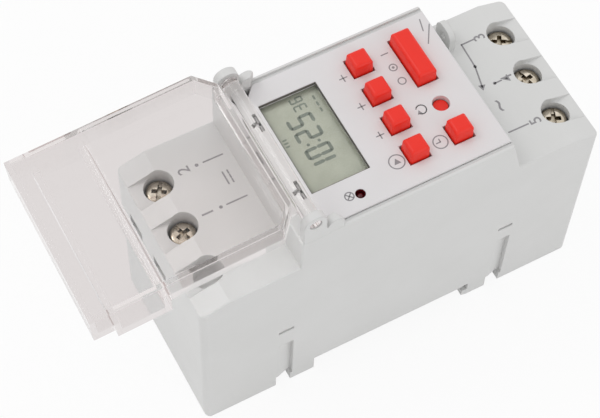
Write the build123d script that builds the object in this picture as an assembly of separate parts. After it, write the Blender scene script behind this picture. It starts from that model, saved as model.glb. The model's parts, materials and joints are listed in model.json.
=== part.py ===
from build123d import *
import os

# All sizes are in millimetres. X runs from the input end to the output end, Y across
# the body, and Z up from the back plane. The origin is the centre of the back plane.

# Casing
body_length = 86.0
body_width = 36.0
wall = 1.8
platform_height = 47.0
slope_length = 6.0
slope_drop = 1.9
corner_radius = 1.3
edge_radius = 0.4
seam_gap = 0.1
cut_reach = 1.0

# Raised middle with the front panel
front_height = 56.3
deck_drop = 0.3
raised_start = -22.4
raised_end = 22.3
raised_base = 24.8
panel_start = -16.8
panel_thickness = 2.0
panel_fit = 0.05
panel_ledge = 0.4
panel_bevel = 0.15
groove_width = 0.75
groove_depth = 0.5
groove_start = -14.8
panel_corner_x = 2.2
panel_corner_y = 2.4
deck_slot_x = -19.0
deck_slot_y = 8.1
deck_slot_length = 4.2
deck_slot_width = 0.9
deck_slot_depth = 3.6

# Underside: rail slot, feet and finger notches
rail_depth = 4.3
rail_slot_start = -18.3
hook_tip = 16.9
hook_pocket = 1.3
hook_gap = 1.6
hook_rise = 0.3
hook_thickness = 1.6
seat_relief = 0.3
notch_width = 3.3
notch_depth = 3.7
input_notch = -27.1
output_notch = 22.6
foot_floor = 1.8

# Snap windows that hold the rear cover
window_inset = 0.45
window_depth = 1.0
window_height = 17.8
window_step = 1.2
tongue_thickness = 1.2
barb_height = 0.9
barb_level = 23.6
barb_sink = 0.6

# Clear cover and its hinge
hinge_x = -19.7
hinge_z = 61.2
hinge_rod_radius = 1.65
hinge_pin_radius = 1.2
hinge_fit = 0.05
hinge_side_gap = 0.3
cheek_thickness = 1.7
cheek_radius = 2.3
cheek_foot_radius = 1.7
cheek_foot_x = 4.3
cheek_foot_z = 3.4
cheek_web = 0.4
cheek_gap = 0.25
cover_wall = 1.1
cover_gap = 0.15
cover_height = 5.8
cover_deep_height = 9.7
cover_lip_height = 6.9
cover_deep_start = 9.2
cover_deep_end = 19.8
cover_end = 24.1
cover_corner_x = 3.5
cover_corner_y = 4.0
cover_open_angle = 183.4

# Cover catch with its seal hole
catch_x = 26.0
catch_thickness = 1.3
catch_y = 13.6
catch_width = 5.2
catch_height = 5.0
catch_corner = 2.2
seal_hole_radius = 0.9

# Terminals
terminal_margin = 2.7
terminal_inset = 5.35
head_radius = 2.65
head_height = 2.2
head_sink = 3.0
head_gap = 0.3
seat_thickness = 0.85
seat_gap = 0.05
boss_wall = 0.95
screw_radius = 1.75
thread_fit = 0.05
recess_depth = 1.2
recess_width = 0.75
recess_reach = 1.55
trough_width = 5.7
trough_depth = 1.9
terminal_ceiling = 3.8
terminal_bay = 10.6
partition_thickness = 1.2
partition_bottom = 26.0
cage_length = 6.6
cage_width = 7.6
cage_wall = 1.2
cage_roof = 1.4
cage_room = 6.0
cage_travel = 2.1
cage_lift_gap = 0.2
screw_tip_gap = 0.1
busbar_thickness = 1.2
busbar_width = 4.6
busbar_reach = 7.35
entry_width = 5.2

# Rail clip
clip_width = 12.0
clip_thickness = 1.7
clip_level = 1.5
clip_nose = -16.5
clip_tail = -35.5
clip_gap = 0.25
clip_travel = 3.0
clip_slot_length = 5.0
clip_slot_width = 1.8
clip_bevel = 0.9
spring_thickness = 0.4
spring_span = 10.0
spring_solid = 0.8

# Circuit boards
board_thickness = 1.6
logic_drop = 6.7
logic_start = -20.0
logic_end = 21.2
logic_side_gap = 0.2
power_level = 9.0
power_length = 65.0
power_side_gap = 0.3
board_screw_head = 1.7
board_screw_head_height = 1.4
board_screw_radius = 0.95
board_screw_length = 4.6
board_screw_fit = 0.05
board_post_radius = 1.5
logic_post_x = (-13.5, -0.4, 19.5)
logic_post_inset = 1.7
power_post_x = 22.0
power_post_inset = 2.2
power_post_radius = 2.0

# Display
display_start = -15.9
display_end = -3.7
display_near = -9.5
display_far = 11.7
lens_drop = 1.2
lens_margin = 0.5
lens_fit = 0.05
lens_thickness = 0.55
lens_gap = 0.05
glass_margin = 0.4
glass_thickness = 1.8
strip_width = 1.4
led_x = -8.0
led_y = -13.5
led_radius = 0.9
led_fit = 0.1
led_drop = 0.5

# Keys
key_column = 5.35
key_row = -10.3
key_pitch = 7.1
key_length = 4.2
key_draft = 0.2
key_width = 4.2
key_rise = 3.0
key_edge = 0.9
key_gap = 0.2
key_flange = 0.5
key_flange_thickness = 0.8
key_flange_gap = 0.2
clock_x = 14.75
manual_x = 15.05
manual_y = 7.5
manual_width = 11.5
reset_x = 14.9
reset_y = -3.4
reset_radius = 1.5
reset_drop = 1.1
key_travel = 0.5
stem_radius = 1.5
stem_overlap = 0.1
switch_size = 6.0
switch_height = 1.8
switch_floor = 0.3
plunger_radius = 1.25
plunger_fit = 0.05
plunger_rise = 1.2
plunger_floor_gap = 0.2

# Parts on the boards
relay_x = (-8.0, 22.0)
relay_width = 16.0
relay_height = 20.0
supply_capacitor_x = (-28.0, -12.0)
supply_capacitor_y = (-10.2, -3.2)
supply_capacitor_height = 13.0
smoothing_capacitor_x = -17.0
smoothing_capacitor_y = 4.0
smoothing_capacitor_radius = 4.0
smoothing_capacitor_height = 14.0
ribbon_x = (-11.0, -3.2)
ribbon_y = 13.4
ribbon_thickness = 0.5
cell_x = 11.0
cell_y = 2.5
cell_radius = 8.0
cell_height = 3.2
holder_wall = 0.9
holder_floor = 1.0
holder_height = 5.6
cell_fit = 0.1
controller_x = -9.0
controller_y = 1.0
controller_size = 8.0
controller_height = 1.2
crystal_x = -2.0
crystal_y = -8.0
crystal_length = 8.0
crystal_width = 3.2
crystal_height = 2.4

# Sizes that follow from the ones above
half_length = body_length / 2
half_width = body_width / 2
inner_length = half_length - wall
inner_width = half_width - wall
deck_height = front_height - deck_drop
panel_bottom = front_height - panel_thickness
panel_width = inner_width + panel_ledge
platform_ceiling = platform_height - wall
terminal_x = half_length - terminal_inset
terminal_pitch = (body_width - 2 * terminal_margin) / 3
head_top = platform_height - head_sink
head_bottom = head_top - head_height
seat_top = head_bottom - seat_gap
screw_bottom = seat_top - seat_thickness - cage_lift_gap - cage_travel - cage_roof - screw_tip_gap
cage_roof_bottom = screw_bottom + screw_tip_gap
cage_floor_top = cage_roof_bottom - cage_room
busbar_top = screw_bottom - screw_tip_gap
cover_rim = front_height + cover_gap
cheek_outer = half_width - seam_gap
cheek_inner = cheek_outer - cheek_thickness
logic_top = front_height - logic_drop
logic_bottom = logic_top - board_thickness
logic_side = inner_width - logic_side_gap
logic_post_y = logic_side - logic_post_inset
power_side = inner_width - seam_gap - tongue_thickness - power_side_gap
power_post_y = power_side - power_post_inset
power_top = power_level + board_thickness
lens_top = front_height - lens_drop
lens_bottom = lens_top - lens_thickness
glass_top = lens_bottom - lens_gap
glass_bottom = glass_top - glass_thickness
spring_room = clip_travel + spring_solid
plunger_top = logic_top + switch_height + plunger_rise
plunger_bottom = logic_top + switch_floor + key_travel + plunger_floor_gap
cover_corner = panel_start + cover_corner_x
cover_side_corner = half_width - cover_corner_y
floor_inside = rail_depth + wall


def block(x, y, z):
    """A box between two limits along each axis."""
    middle = ((x[0] + x[1]) / 2, (y[0] + y[1]) / 2, (z[0] + z[1]) / 2)
    return Pos(*middle) * Box(x[1] - x[0], y[1] - y[0], z[1] - z[0])


def upright(x, y, radius, z):
    """A cylinder standing between two heights."""
    return Pos(x, y, (z[0] + z[1]) / 2) * Cylinder(radius, z[1] - z[0])


def cross_bar(x, z, radius, y):
    """A cylinder lying across the body between two Y limits."""
    return Pos(x, (y[0] + y[1]) / 2, z) * Rot(90, 0, 0) * Cylinder(radius, y[1] - y[0])


def across(face, y):
    """A face drawn in X and Z, carried across the body between two Y limits."""
    return Pos(0, y[1], 0) * extrude(Plane.XZ * face, y[1] - y[0])


def upward(face, z):
    """A face drawn in X and Y, carried up between two heights."""
    return Pos(0, 0, z[0]) * extrude(face, z[1] - z[0])


def outline(*points):
    """A flat face inside a closed line of points."""
    return make_face(Polyline(*points, close=True))


def both_sides(solid):
    """A solid together with its mirror image on the other side of the body."""
    return solid + mirror(solid, Plane.XZ)


def output_face(z):
    """Where the leaning outer face at the output side stands at a height."""
    lean = (raised_base - raised_end) / (front_height - platform_height)
    return raised_base - (z - platform_height) * lean


def underside(end_x):
    """The line of feet, notches and rail slot, from the input end to the output end."""
    lip_top = hook_gap + seat_relief + hook_rise
    return [
        (-end_x, 0),
        (input_notch, 0),
        (input_notch, notch_depth),
        (input_notch + notch_width, notch_depth),
        (input_notch + notch_width, 0),
        (rail_slot_start, 0),
        (rail_slot_start, rail_depth),
        (hook_tip, rail_depth),
        (hook_tip, rail_depth + seat_relief),
        (hook_tip + hook_pocket, rail_depth + seat_relief),
        (hook_tip + hook_pocket, lip_top),
        (hook_tip, lip_top),
        (hook_tip, lip_top - hook_thickness),
        (hook_tip + hook_pocket, 0),
        (output_notch, 0),
        (output_notch, notch_depth),
        (output_notch + notch_width, notch_depth),
        (output_notch + notch_width, 0),
        (end_x, 0),
    ]


def near_corners(face, places):
    """The corners of a face that lie at the given points."""
    return [
        corner
        for corner in face.vertices()
        if any(abs(corner.X - x) < 0.01 and abs(corner.Y - y) < 0.01 for x, y in places)
    ]


def same_place(first, second):
    """Whether two edges have one and the same middle."""
    return (first.center() - second.center()).length < 0.01


def casing_base():
    """The low block with both terminal platforms, rounded along its top edges."""
    slope_end = platform_height - slope_drop
    fold = half_length - slope_length
    top = [
        (half_length, slope_end),
        (fold, platform_height),
        (-fold, platform_height),
        (-half_length, slope_end),
    ]
    side = outline(*underside(half_length), *top)
    side = fillet(near_corners(side, [(-half_length, 0), (half_length, 0)]), corner_radius)
    plan = RectangleRounded(body_length, body_width, corner_radius)
    base = across(side, (-half_width, half_width)) & upward(plan, (0, platform_height))
    faces = [face for face in base.faces() if face.center().Z > slope_end - slope_drop
             and face.normal_at(face.center()).Z > 0.5]
    edges = [edge for face in faces for edge in face.edges()]
    rim = [edge for edge in edges if sum(same_place(edge, other) for other in edges) == 1]
    return fillet(rim, edge_radius)


def raised_block(start_x, top):
    """A block up to the leaning output wall, rounded along its upper edges."""
    low = platform_height - cut_reach
    side = outline((start_x, low), (output_face(low), low), (output_face(top), top), (start_x, top))
    raised = across(side, (-half_width, half_width))
    return fillet([edge for edge in raised.edges() if edge.center().Z > low + 0.1], edge_radius)


def casing_block():
    """The casing's outer form, before it is hollowed."""
    deck = raised_block(raised_start, deck_height)
    middle = raised_block(panel_start, front_height)
    return casing_base() + deck + middle


def casing_room():
    """The space inside the casing, open at the back and under the front panel."""
    bay = half_length - terminal_bay
    low = platform_height - terminal_ceiling
    deck_under = deck_height - wall
    hatch = panel_start - panel_fit
    above = front_height + cut_reach
    side = outline(
        (-inner_length, -cut_reach),
        (-inner_length, low),
        (-bay, low),
        (-bay, platform_ceiling),
        (raised_start + wall, platform_ceiling),
        (raised_start + wall, deck_under),
        (hatch, deck_under),
        (hatch, above),
        (output_face(above) - wall, above),
        (output_face(platform_ceiling) - wall, platform_ceiling),
        (bay, platform_ceiling),
        (bay, low),
        (inner_length, low),
        (inner_length, -cut_reach),
    )
    return across(side, (-inner_width, inner_width))


def panel_outline(gap, end_x):
    """The front panel seen from above, grown by a gap on its closed sides."""
    start = panel_start - gap
    side = panel_width + gap
    return outline(
        (start, -side + panel_corner_y),
        (start, side - panel_corner_y),
        (start + panel_corner_x, side),
        (end_x, side),
        (end_x, -side),
        (start + panel_corner_x, -side),
    )


def terminal_places():
    """Each terminal's number and its place, 1 and 2 at the input, 3 to 5 at the output."""
    rows = [(1, -1, 0), (2, -1, 1), (3, 1, 1), (4, 1, 0), (5, 1, -1)]
    return [(number, end * terminal_x, row * terminal_pitch) for number, end, row in rows]


def hinge_cheek():
    """One of the casing's cheeks, on the far side: a pin's round ear and a lower one beside it."""
    low = deck_height - wall
    foot_x = hinge_x + cheek_foot_x
    foot_z = hinge_z - cheek_foot_z
    web_x = (hinge_x, foot_x)
    cheek_face = outline((web_x[0], low), (web_x[1], low), (web_x[1], foot_z + cheek_web),
                         (web_x[0], foot_z + cheek_web))
    for x, z, radius in ((hinge_x, hinge_z, cheek_radius), (foot_x, foot_z, cheek_foot_radius)):
        stand = outline((x - radius, low), (x + radius, low), (x + radius, z), (x - radius, z))
        cheek_face += stand + Pos(x, z) * Circle(radius)
    cheek = across(cheek_face, (cheek_inner, cheek_outer))
    cheek -= cross_bar(hinge_x, hinge_z, hinge_pin_radius + hinge_fit, (0, half_width + cut_reach))
    cover_side = cover_corner - cheek_gap
    cut = outline(
        (cover_side, half_width),
        (cover_side - cover_corner_x, cover_side_corner),
        (cover_end, cover_side_corner),
        (cover_end, half_width),
    )
    return cheek - upward(cut, (front_height, hinge_z + cheek_radius))


def snap_windows():
    """Ramped recesses and barb slots in the far side wall, one pair at each notch."""
    cut = Part()
    starts = [(input_notch, window_height), (output_notch, window_height + window_step)]
    for start, height in starts:
        near = start + window_inset
        far = near + notch_width
        beyond = half_width + cut_reach
        ramp = outline((near, half_width), (far, half_width - window_depth), (far, beyond))
        cut += upward(ramp, (notch_depth - cut_reach, height))
        low = barb_level - barb_height / 2
        cut += block((near, far), (inner_width - cut_reach, beyond), (low, low + barb_height))
    return cut


def cover_catch():
    """The upright catch for the clear cover, with a hole for a seal wire."""
    top = platform_height + catch_height
    x = (catch_x, catch_x + catch_thickness)
    y = (catch_y - catch_width / 2, catch_y + catch_width / 2)
    tab = block(x, y, (platform_height - wall / 2, top))
    tab = fillet(tab.edges().filter_by(Axis.X).sort_by(Axis.Z)[-2:], catch_corner)
    bore = Pos(catch_x, catch_y, top - catch_width / 2) * Rot(0, 90, 0)
    return tab - bore * Cylinder(seal_hole_radius, 4 * catch_thickness)


def terminal_bosses():
    """A boss round each screw head, and the partitions between the terminals."""
    solid = Part()
    low = platform_height - terminal_ceiling
    for end in (-1, 1):
        for row in (-1, 0, 1):
            boss_z = (seat_top - seat_thickness, low + wall / 2)
            radius = head_radius + head_gap + boss_wall
            solid += upright(end * terminal_x, row * terminal_pitch, radius, boss_z)
        inner = end * (half_length - terminal_bay)
        outer = end * (inner_length + wall / 2)
        for side in (-1, 1):
            middle = side * terminal_pitch / 2
            y = (middle - partition_thickness / 2, middle + partition_thickness / 2)
            z = (partition_bottom, low + wall / 2)
            solid += block((min(inner, outer), max(inner, outer)), y, z)
    return solid


def terminal_openings():
    """Head holes, troughs, shaft holes and wire entries, cut from the casing."""
    cut = Part()
    trough_floor = platform_height - trough_depth
    for end in (-1, 1):
        for row in (-1, 0, 1):
            x = end * terminal_x
            y = row * terminal_pitch
            cut += upright(x, y, head_radius + head_gap, (seat_top, platform_height + cut_reach))
            limits = (min(x, 2 * x), max(x, 2 * x))
            side = (y - trough_width / 2, y + trough_width / 2)
            cut += block(limits, side, (trough_floor, platform_height + cut_reach))
    for number, x, y in terminal_places():
        below = seat_top - 2 * seat_thickness
        cut += upright(x, y, screw_radius + seat_gap, (below, seat_top + cut_reach))
        end = 1 if x > 0 else -1
        limits = sorted((end * (inner_length - cut_reach), end * (half_length + cut_reach)))
        side = (y - entry_width / 2, y + entry_width / 2)
        cut += block(limits, side, (cage_floor_top, busbar_top - busbar_thickness))
    return cut


def housing():
    """The main casing: side and end walls, platforms, deck and hinge cheeks."""
    shell = casing_block() - casing_room()
    shell += terminal_bosses()
    shell += both_sides(hinge_cheek())
    shell += cover_catch()
    shell -= terminal_openings()
    above = front_height + cut_reach
    shell -= upward(panel_outline(panel_fit, raised_base), (panel_bottom, above))
    groove_y = (panel_width, panel_width + groove_width)
    groove_z = (front_height - groove_depth, above)
    shell -= both_sides(block((groove_start, raised_base), groove_y, groove_z))
    for middle in (-deck_slot_y, deck_slot_y):
        start = middle - deck_slot_length / 2
        end = middle + deck_slot_length / 2
        x = (deck_slot_x - deck_slot_width / 2, deck_slot_x + deck_slot_width / 2)
        z = (deck_height - deck_slot_depth, deck_height + cut_reach)
        shell -= block(x, (start, end), z)
        stem_x = (x[0], x[1] + deck_slot_width)
        stem_y = (middle - deck_slot_width / 2, middle + deck_slot_width / 2)
        shell -= block(stem_x, stem_y, z)
    return shell - both_sides(snap_windows())


def clip_pocket():
    """The sliding room for the rail clip and its spring, with the seat relief above."""
    half = clip_width / 2 + clip_gap
    z = (clip_level - clip_gap, clip_level + clip_thickness + clip_gap)
    room = block((clip_tail - spring_room, rail_slot_start + cut_reach), (-half, half), z)
    relief_x = (rail_slot_start, clip_nose + seam_gap)
    relief_z = (rail_depth - cut_reach, rail_depth + seat_relief)
    return room + block(relief_x, (-half, half), relief_z)


def snap_tongue(start):
    """A tongue of the rear cover inside the far wall, with a barb in the wall's slot."""
    near = start + window_inset + seam_gap
    far = near + notch_width - 2 * seam_gap
    outer = inner_width - seam_gap
    inner = outer - tongue_thickness
    top = barb_level + barb_height
    tongue = block((near, far), (inner, outer), (notch_depth, top))
    barb = outline((near, outer), (near, half_width - barb_sink), (far, half_width - window_depth),
                   (far, outer))
    low = barb_level - barb_height / 2
    return tongue + upward(barb, (low + seam_gap / 2, low + barb_height - seam_gap / 2))


def rear_cover():
    """The back: feet, rail seat with its fixed hook, snap tongues and board posts."""
    end_x = inner_length - seam_gap
    side = outline(*underside(end_x), (end_x, floor_inside), (-end_x, floor_inside))
    outer = inner_width - seam_gap
    cover = across(side, (-outer, outer))
    hollow_x = (output_notch + notch_width + wall, end_x - wall)
    hollow_y = (-outer + wall, outer - wall)
    cover -= block(hollow_x, hollow_y, (foot_floor, floor_inside + cut_reach))
    cover += both_sides(snap_tongue(input_notch) + snap_tongue(output_notch))
    for x in (-power_post_x, power_post_x):
        for y in (-power_post_y, power_post_y):
            post_z = (floor_inside - cut_reach, power_level)
            cover += upright(x, y, power_post_radius, post_z)
            screw_bottom_z = power_top - board_screw_length
            bore_z = (screw_bottom_z - 2 * board_screw_fit, power_level + cut_reach)
            cover -= upright(x, y, board_screw_radius + board_screw_fit, bore_z)
    return cover - clip_pocket()


def rail_clip():
    """The sliding clip that locks on the rail, with a slot for a screwdriver tip."""
    z = (clip_level, clip_level + clip_thickness)
    plate = block((clip_tail, clip_nose), (-clip_width / 2, clip_width / 2), z)
    nose = plate.edges().filter_by(Axis.Y).sort_by(Axis.X)[-2:]
    plate = chamfer(nose.sort_by(Axis.Z)[0], clip_bevel)
    slot_x = input_notch + notch_width / 2
    x = (slot_x - clip_slot_width / 2, slot_x + clip_slot_width / 2)
    y = (-clip_slot_length / 2, clip_slot_length / 2)
    return plate - block(x, y, (z[0] - cut_reach, z[1] + cut_reach))


def clip_spring():
    """A bowed leaf spring between the clip's tail and the end of its pocket."""
    back = clip_tail - spring_room + seam_gap / 2
    front = clip_tail - seam_gap / 2
    half = spring_span / 2
    outer = ThreePointArc((back, -half), (front, 0), (back, half))
    inset = half - 1.5 * spring_thickness
    inner = ThreePointArc((back, inset), (front - spring_thickness, 0), (back, -inset))
    ends = [Line(outer @ 1, inner @ 0), Line(inner @ 1, outer @ 0)]
    leaf = make_face([outer, inner, *ends])
    return upward(leaf, (clip_level, clip_level + clip_thickness))


def cover_side(inset, rim):
    """The clear cover seen from the side, drawn in by a wall's thickness."""
    low = rim + cover_height - inset
    deep = rim + cover_deep_height - inset
    lip = rim + cover_lip_height - inset
    return outline(
        (panel_start + inset, rim - inset),
        (panel_start + inset, low),
        (cover_deep_start + inset, low),
        (cover_deep_start + inset, deep),
        (cover_deep_end - inset, deep),
        (cover_deep_end - inset, lip),
        (cover_end - inset, lip),
        (cover_end - inset, rim - inset),
    )


def cover_plan(inset):
    """The clear cover seen from above, with both hinge-side corners cut off."""
    start = panel_start + inset
    side = half_width - inset
    return outline(
        (start, -cover_side_corner),
        (start, cover_side_corner),
        (cover_corner, side),
        (cover_end - inset, side),
        (cover_end - inset, -side),
        (cover_corner, -side),
    )


def clear_cover():
    """The clear cover on its hinge rod, swung open to lie over the input end."""
    height = (cover_rim - 2 * cover_wall, cover_rim + cover_deep_height)
    outer = across(cover_side(0, cover_rim), (-half_width, half_width))
    outer = outer & upward(cover_plan(0), height)
    inner = across(cover_side(cover_wall, cover_rim), (-half_width, half_width))
    inner = inner & upward(cover_plan(cover_wall), height)
    cover = outer - inner
    top = cover_rim + cover_height
    web_z = (top - cover_wall, top)
    cover += block((hinge_x, panel_start + cover_wall), (-cover_side_corner, cover_side_corner), web_z)
    rod = cheek_inner - hinge_side_gap
    cover += cross_bar(hinge_x, hinge_z, hinge_rod_radius, (-rod, rod))
    pin = cheek_outer - hinge_side_gap
    cover += cross_bar(hinge_x, hinge_z, hinge_pin_radius, (-pin, pin))
    swing = Pos(hinge_x, 0, hinge_z) * Rot(0, -cover_open_angle, 0) * Pos(-hinge_x, 0, -hinge_z)
    return swing * cover


def key_places():
    """Each rectangular key's name, place and size across the top."""
    column = [
        ("minute", key_row + 3 * key_pitch),
        ("hour", key_row + 2 * key_pitch),
        ("day", key_row + key_pitch),
        ("program", key_row),
    ]
    places = [(name, key_column, y, key_length, key_width) for name, y in column]
    places.append(("clock", clock_x, key_row, key_length, key_width))
    places.append(("manual", manual_x, manual_y, key_length, manual_width))
    return places


def switch_places():
    """The plan position of every switch under a key."""
    places = [(x, y) for name, x, y, length, width in key_places()]
    return places + [(reset_x, reset_y)]


def front_panel():
    """The front plate with its windows, key holes and the posts for the logic board."""
    edge = output_face(panel_bottom)
    plate = upward(panel_outline(0, edge), (panel_bottom, front_height))
    lean = outline(
        (raised_end, front_height),
        (edge, panel_bottom),
        (edge + cut_reach, panel_bottom),
        (edge + cut_reach, front_height),
    )
    plate -= across(lean, (-half_width, half_width))
    plate = chamfer(plate.faces().sort_by(Axis.Z)[-1].edges(), panel_bevel)
    hole_z = (panel_bottom - cut_reach, front_height + cut_reach)
    plate -= block((display_start, display_end), (display_near, display_far), hole_z)
    lens_x, lens_y = window_limits(lens_margin + lens_fit)
    plate -= block(lens_x, lens_y, (panel_bottom - cut_reach, lens_top))
    for name, x, y, length, width in key_places():
        half_x = length / 2 + key_gap
        half_y = width / 2 + key_gap
        plate -= block((x - half_x, x + half_x), (y - half_y, y + half_y), hole_z)
    plate -= upright(reset_x, reset_y, reset_radius + key_gap, hole_z)
    plate -= upright(led_x, led_y, led_radius + led_fit, hole_z)
    for x in logic_post_x:
        for y in (-logic_post_y, logic_post_y):
            plate += upright(x, y, board_post_radius, (logic_top, panel_bottom))
            bore_top = logic_bottom + board_screw_length + 2 * board_screw_fit
            radius = board_screw_radius + board_screw_fit
            plate -= upright(x, y, radius, (logic_top - cut_reach, bore_top))
    return plate


def window_limits(margin):
    """The display window in X and Y, grown by a margin on every side."""
    x = (display_start - margin, display_end + margin)
    y = (display_near - margin, display_far + margin)
    return x, y


def lcd_window():
    """The clear lens in the rebate under the panel's window."""
    x, y = window_limits(lens_margin)
    return block(x, y, (lens_bottom, lens_top))


def lcd_glass():
    """The display glass under the lens."""
    x, y = window_limits(glass_margin)
    return block(x, y, (glass_bottom, glass_top))


def contact_strips():
    """Two rubber strips that join the glass to the logic board."""
    x, y = window_limits(glass_margin)
    z = (logic_top, glass_bottom)
    near = block((x[0], x[0] + strip_width), y, z)
    return near + block((x[1] - strip_width, x[1]), y, z)


def lcd_reflector():
    """The reflector plate between the contact strips."""
    x, y = window_limits(glass_margin)
    start = x[0] + strip_width + seam_gap
    end = x[1] - strip_width - seam_gap
    return block((start, end), y, (logic_top, glass_bottom))


def status_led():
    """The indicator lamp: a cylinder with a domed tip, seen in the panel's hole."""
    dome = front_height - led_drop - led_radius
    body = upright(led_x, led_y, led_radius, (logic_top, dome))
    return body + Pos(led_x, led_y, dome) * Sphere(led_radius)


def logic_board():
    """The upper board, hung from the panel's posts."""
    board = block((logic_start, logic_end), (-logic_side, logic_side), (logic_bottom, logic_top))
    bore_z = (logic_bottom - cut_reach, logic_top + cut_reach)
    radius = board_screw_radius + board_screw_fit
    for x in logic_post_x:
        for side in (-logic_post_y, logic_post_y):
            board -= upright(x, side, radius, bore_z)
    return board


def power_board():
    """The lower board, screwed to the rear cover's posts."""
    x = (-power_length / 2, power_length / 2)
    board = block(x, (-power_side, power_side), (power_level, power_top))
    bore_z = (power_level - cut_reach, power_top + cut_reach)
    radius = board_screw_radius + board_screw_fit
    for place in (-power_post_x, power_post_x):
        for side in (-power_post_y, power_post_y):
            board -= upright(place, side, radius, bore_z)
    return board


def board_screws():
    """The small screws that hold both boards, all alike."""
    screws = []
    for x in logic_post_x:
        for y in (-logic_post_y, logic_post_y):
            head = (logic_bottom - board_screw_head_height, logic_bottom)
            shaft = (logic_bottom, logic_bottom + board_screw_length)
            screw = upright(x, y, board_screw_head, head)
            screws.append(screw + upright(x, y, board_screw_radius, shaft))
    for x in (-power_post_x, power_post_x):
        for y in (-power_post_y, power_post_y):
            head = (power_top, power_top + board_screw_head_height)
            shaft = (power_top - board_screw_length, power_top)
            screw = upright(x, y, board_screw_head, head)
            screws.append(screw + upright(x, y, board_screw_radius, shaft))
    return Compound(children=[screw.solid() for screw in screws])


def tactile_switches():
    """The switch bodies under the keys, each with a bore for its plunger."""
    switches = []
    for x, y in switch_places():
        half = switch_size / 2
        z = (logic_top, logic_top + switch_height)
        body = block((x - half, x + half), (y - half, y + half), z)
        bore_z = (z[0] + switch_floor, z[1] + cut_reach)
        switches.append(body - upright(x, y, plunger_radius + plunger_fit, bore_z))
    return Compound(children=[switch.solid() for switch in switches])


def plunger(x, y):
    """The moving button of a switch, which carries its key."""
    return upright(x, y, plunger_radius, (plunger_bottom, plunger_top))


def key_levels():
    """The heights of a key's flange."""
    top = panel_bottom - key_flange_gap
    return top - key_flange_thickness, top


def square_key(x, y, length, width):
    """A key: stem on the switch, flange under the panel and cap through its hole."""
    flange_z = key_levels()
    half_x = length / 2
    half_y = width / 2
    top = front_height + key_rise
    face = outline(
        (x - half_x, flange_z[0]),
        (x + half_x, flange_z[0]),
        (x + half_x, front_height),
        (x + half_x - key_draft, top),
        (x - half_x + key_draft, top),
        (x - half_x, front_height),
    )
    cap = across(face, (y - half_y, y + half_y))
    cap = fillet(cap.faces().sort_by(Axis.Z)[-1].edges(), key_edge)
    edge_x = half_x + key_gap + key_flange
    edge_y = half_y + key_gap + key_flange
    flange = block((x - edge_x, x + edge_x), (y - edge_y, y + edge_y), flange_z)
    return cap + flange + upright(x, y, stem_radius, (plunger_top, flange_z[0] + stem_overlap))


def reset_key():
    """The round reset button, sunk below the panel's face."""
    flange_z = key_levels()
    cap = upright(reset_x, reset_y, reset_radius, (flange_z[0], front_height - reset_drop))
    flange_radius = reset_radius + key_gap + key_flange
    flange = upright(reset_x, reset_y, flange_radius, flange_z)
    stem_z = (plunger_top, flange_z[0] + stem_overlap)
    return cap + flange + upright(reset_x, reset_y, stem_radius, stem_z)


def terminal_screw(x, y):
    """A terminal screw with a cross recess and a slot across its head."""
    screw = upright(x, y, head_radius, (head_bottom, head_top))
    screw = fillet(screw.edges().sort_by(Axis.Z)[-1], edge_radius)
    screw += upright(x, y, screw_radius, (screw_bottom, head_bottom))
    recess_z = (head_top - recess_depth, head_top + cut_reach)
    half = recess_width / 2
    screw -= block((x - recess_reach, x + recess_reach), (y - half, y + half), recess_z)
    return screw - block((x - half, x + half), (y - head_radius, y + head_radius), recess_z)


def terminal_cage(x, y):
    """The clamp cage that the screw draws up against the busbar."""
    outer_x = (x - cage_length / 2, x + cage_length / 2)
    outer_y = (y - cage_width / 2, y + cage_width / 2)
    outer_z = (cage_floor_top - cage_wall, cage_roof_bottom + cage_roof)
    room_y = (outer_y[0] + cage_wall, outer_y[1] - cage_wall)
    cage = block(outer_x, outer_y, outer_z)
    room_x = (outer_x[0] - cut_reach, outer_x[1] + cut_reach)
    cage -= block(room_x, room_y, (cage_floor_top, cage_roof_bottom))
    bore_z = (cage_roof_bottom - cut_reach, outer_z[1] + cut_reach)
    return cage - upright(x, y, screw_radius + thread_fit, bore_z)


def busbar(x, y):
    """The terminal's copper bar, bent down to stand on the power board."""
    end = 1 if x > 0 else -1
    tip = x + end * (cage_length / 2 - cage_wall)
    knee = x - end * busbar_reach
    bar_y = (y - busbar_width / 2, y + busbar_width / 2)
    flat_z = (busbar_top - busbar_thickness, busbar_top)
    flat = block(sorted((tip, knee)), bar_y, flat_z)
    leg = block(sorted((knee, knee + end * busbar_thickness)), bar_y, (power_top, flat_z[1]))
    return flat + leg


def relay():
    """The power relay in its case, on the power board."""
    y = (-relay_width / 2, relay_width / 2)
    case = block(relay_x, y, (power_top, power_top + relay_height))
    return fillet(case.edges().filter_by(Axis.Z), wall / 2)


def supply_capacitor():
    """The film capacitor of the power supply."""
    z = (power_top, power_top + supply_capacitor_height)
    return block(supply_capacitor_x, supply_capacitor_y, z)


def smoothing_capacitor():
    """The round electrolytic capacitor."""
    z = (power_top, power_top + smoothing_capacitor_height)
    return upright(smoothing_capacitor_x, smoothing_capacitor_y, smoothing_capacitor_radius, z)


def link_ribbon():
    """The flat link that joins the two boards."""
    y = (ribbon_y - ribbon_thickness / 2, ribbon_y + ribbon_thickness / 2)
    return block(ribbon_x, y, (power_top, logic_bottom))


def cell_holder():
    """The cup under the logic board that holds the reserve cell."""
    floor = logic_bottom - holder_height
    radius = cell_radius + cell_fit
    cup = upright(cell_x, cell_y, radius + holder_wall, (floor, logic_bottom))
    return cup - upright(cell_x, cell_y, radius, (floor + holder_floor, logic_bottom + cut_reach))


def reserve_cell():
    """The cell that keeps the clock running without mains."""
    floor = logic_bottom - holder_height + holder_floor
    return upright(cell_x, cell_y, cell_radius, (floor, floor + cell_height))


def microcontroller():
    """The controller chip under the logic board."""
    half = controller_size / 2
    x = (controller_x - half, controller_x + half)
    y = (controller_y - half, controller_y + half)
    return block(x, y, (logic_bottom - controller_height, logic_bottom))


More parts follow.
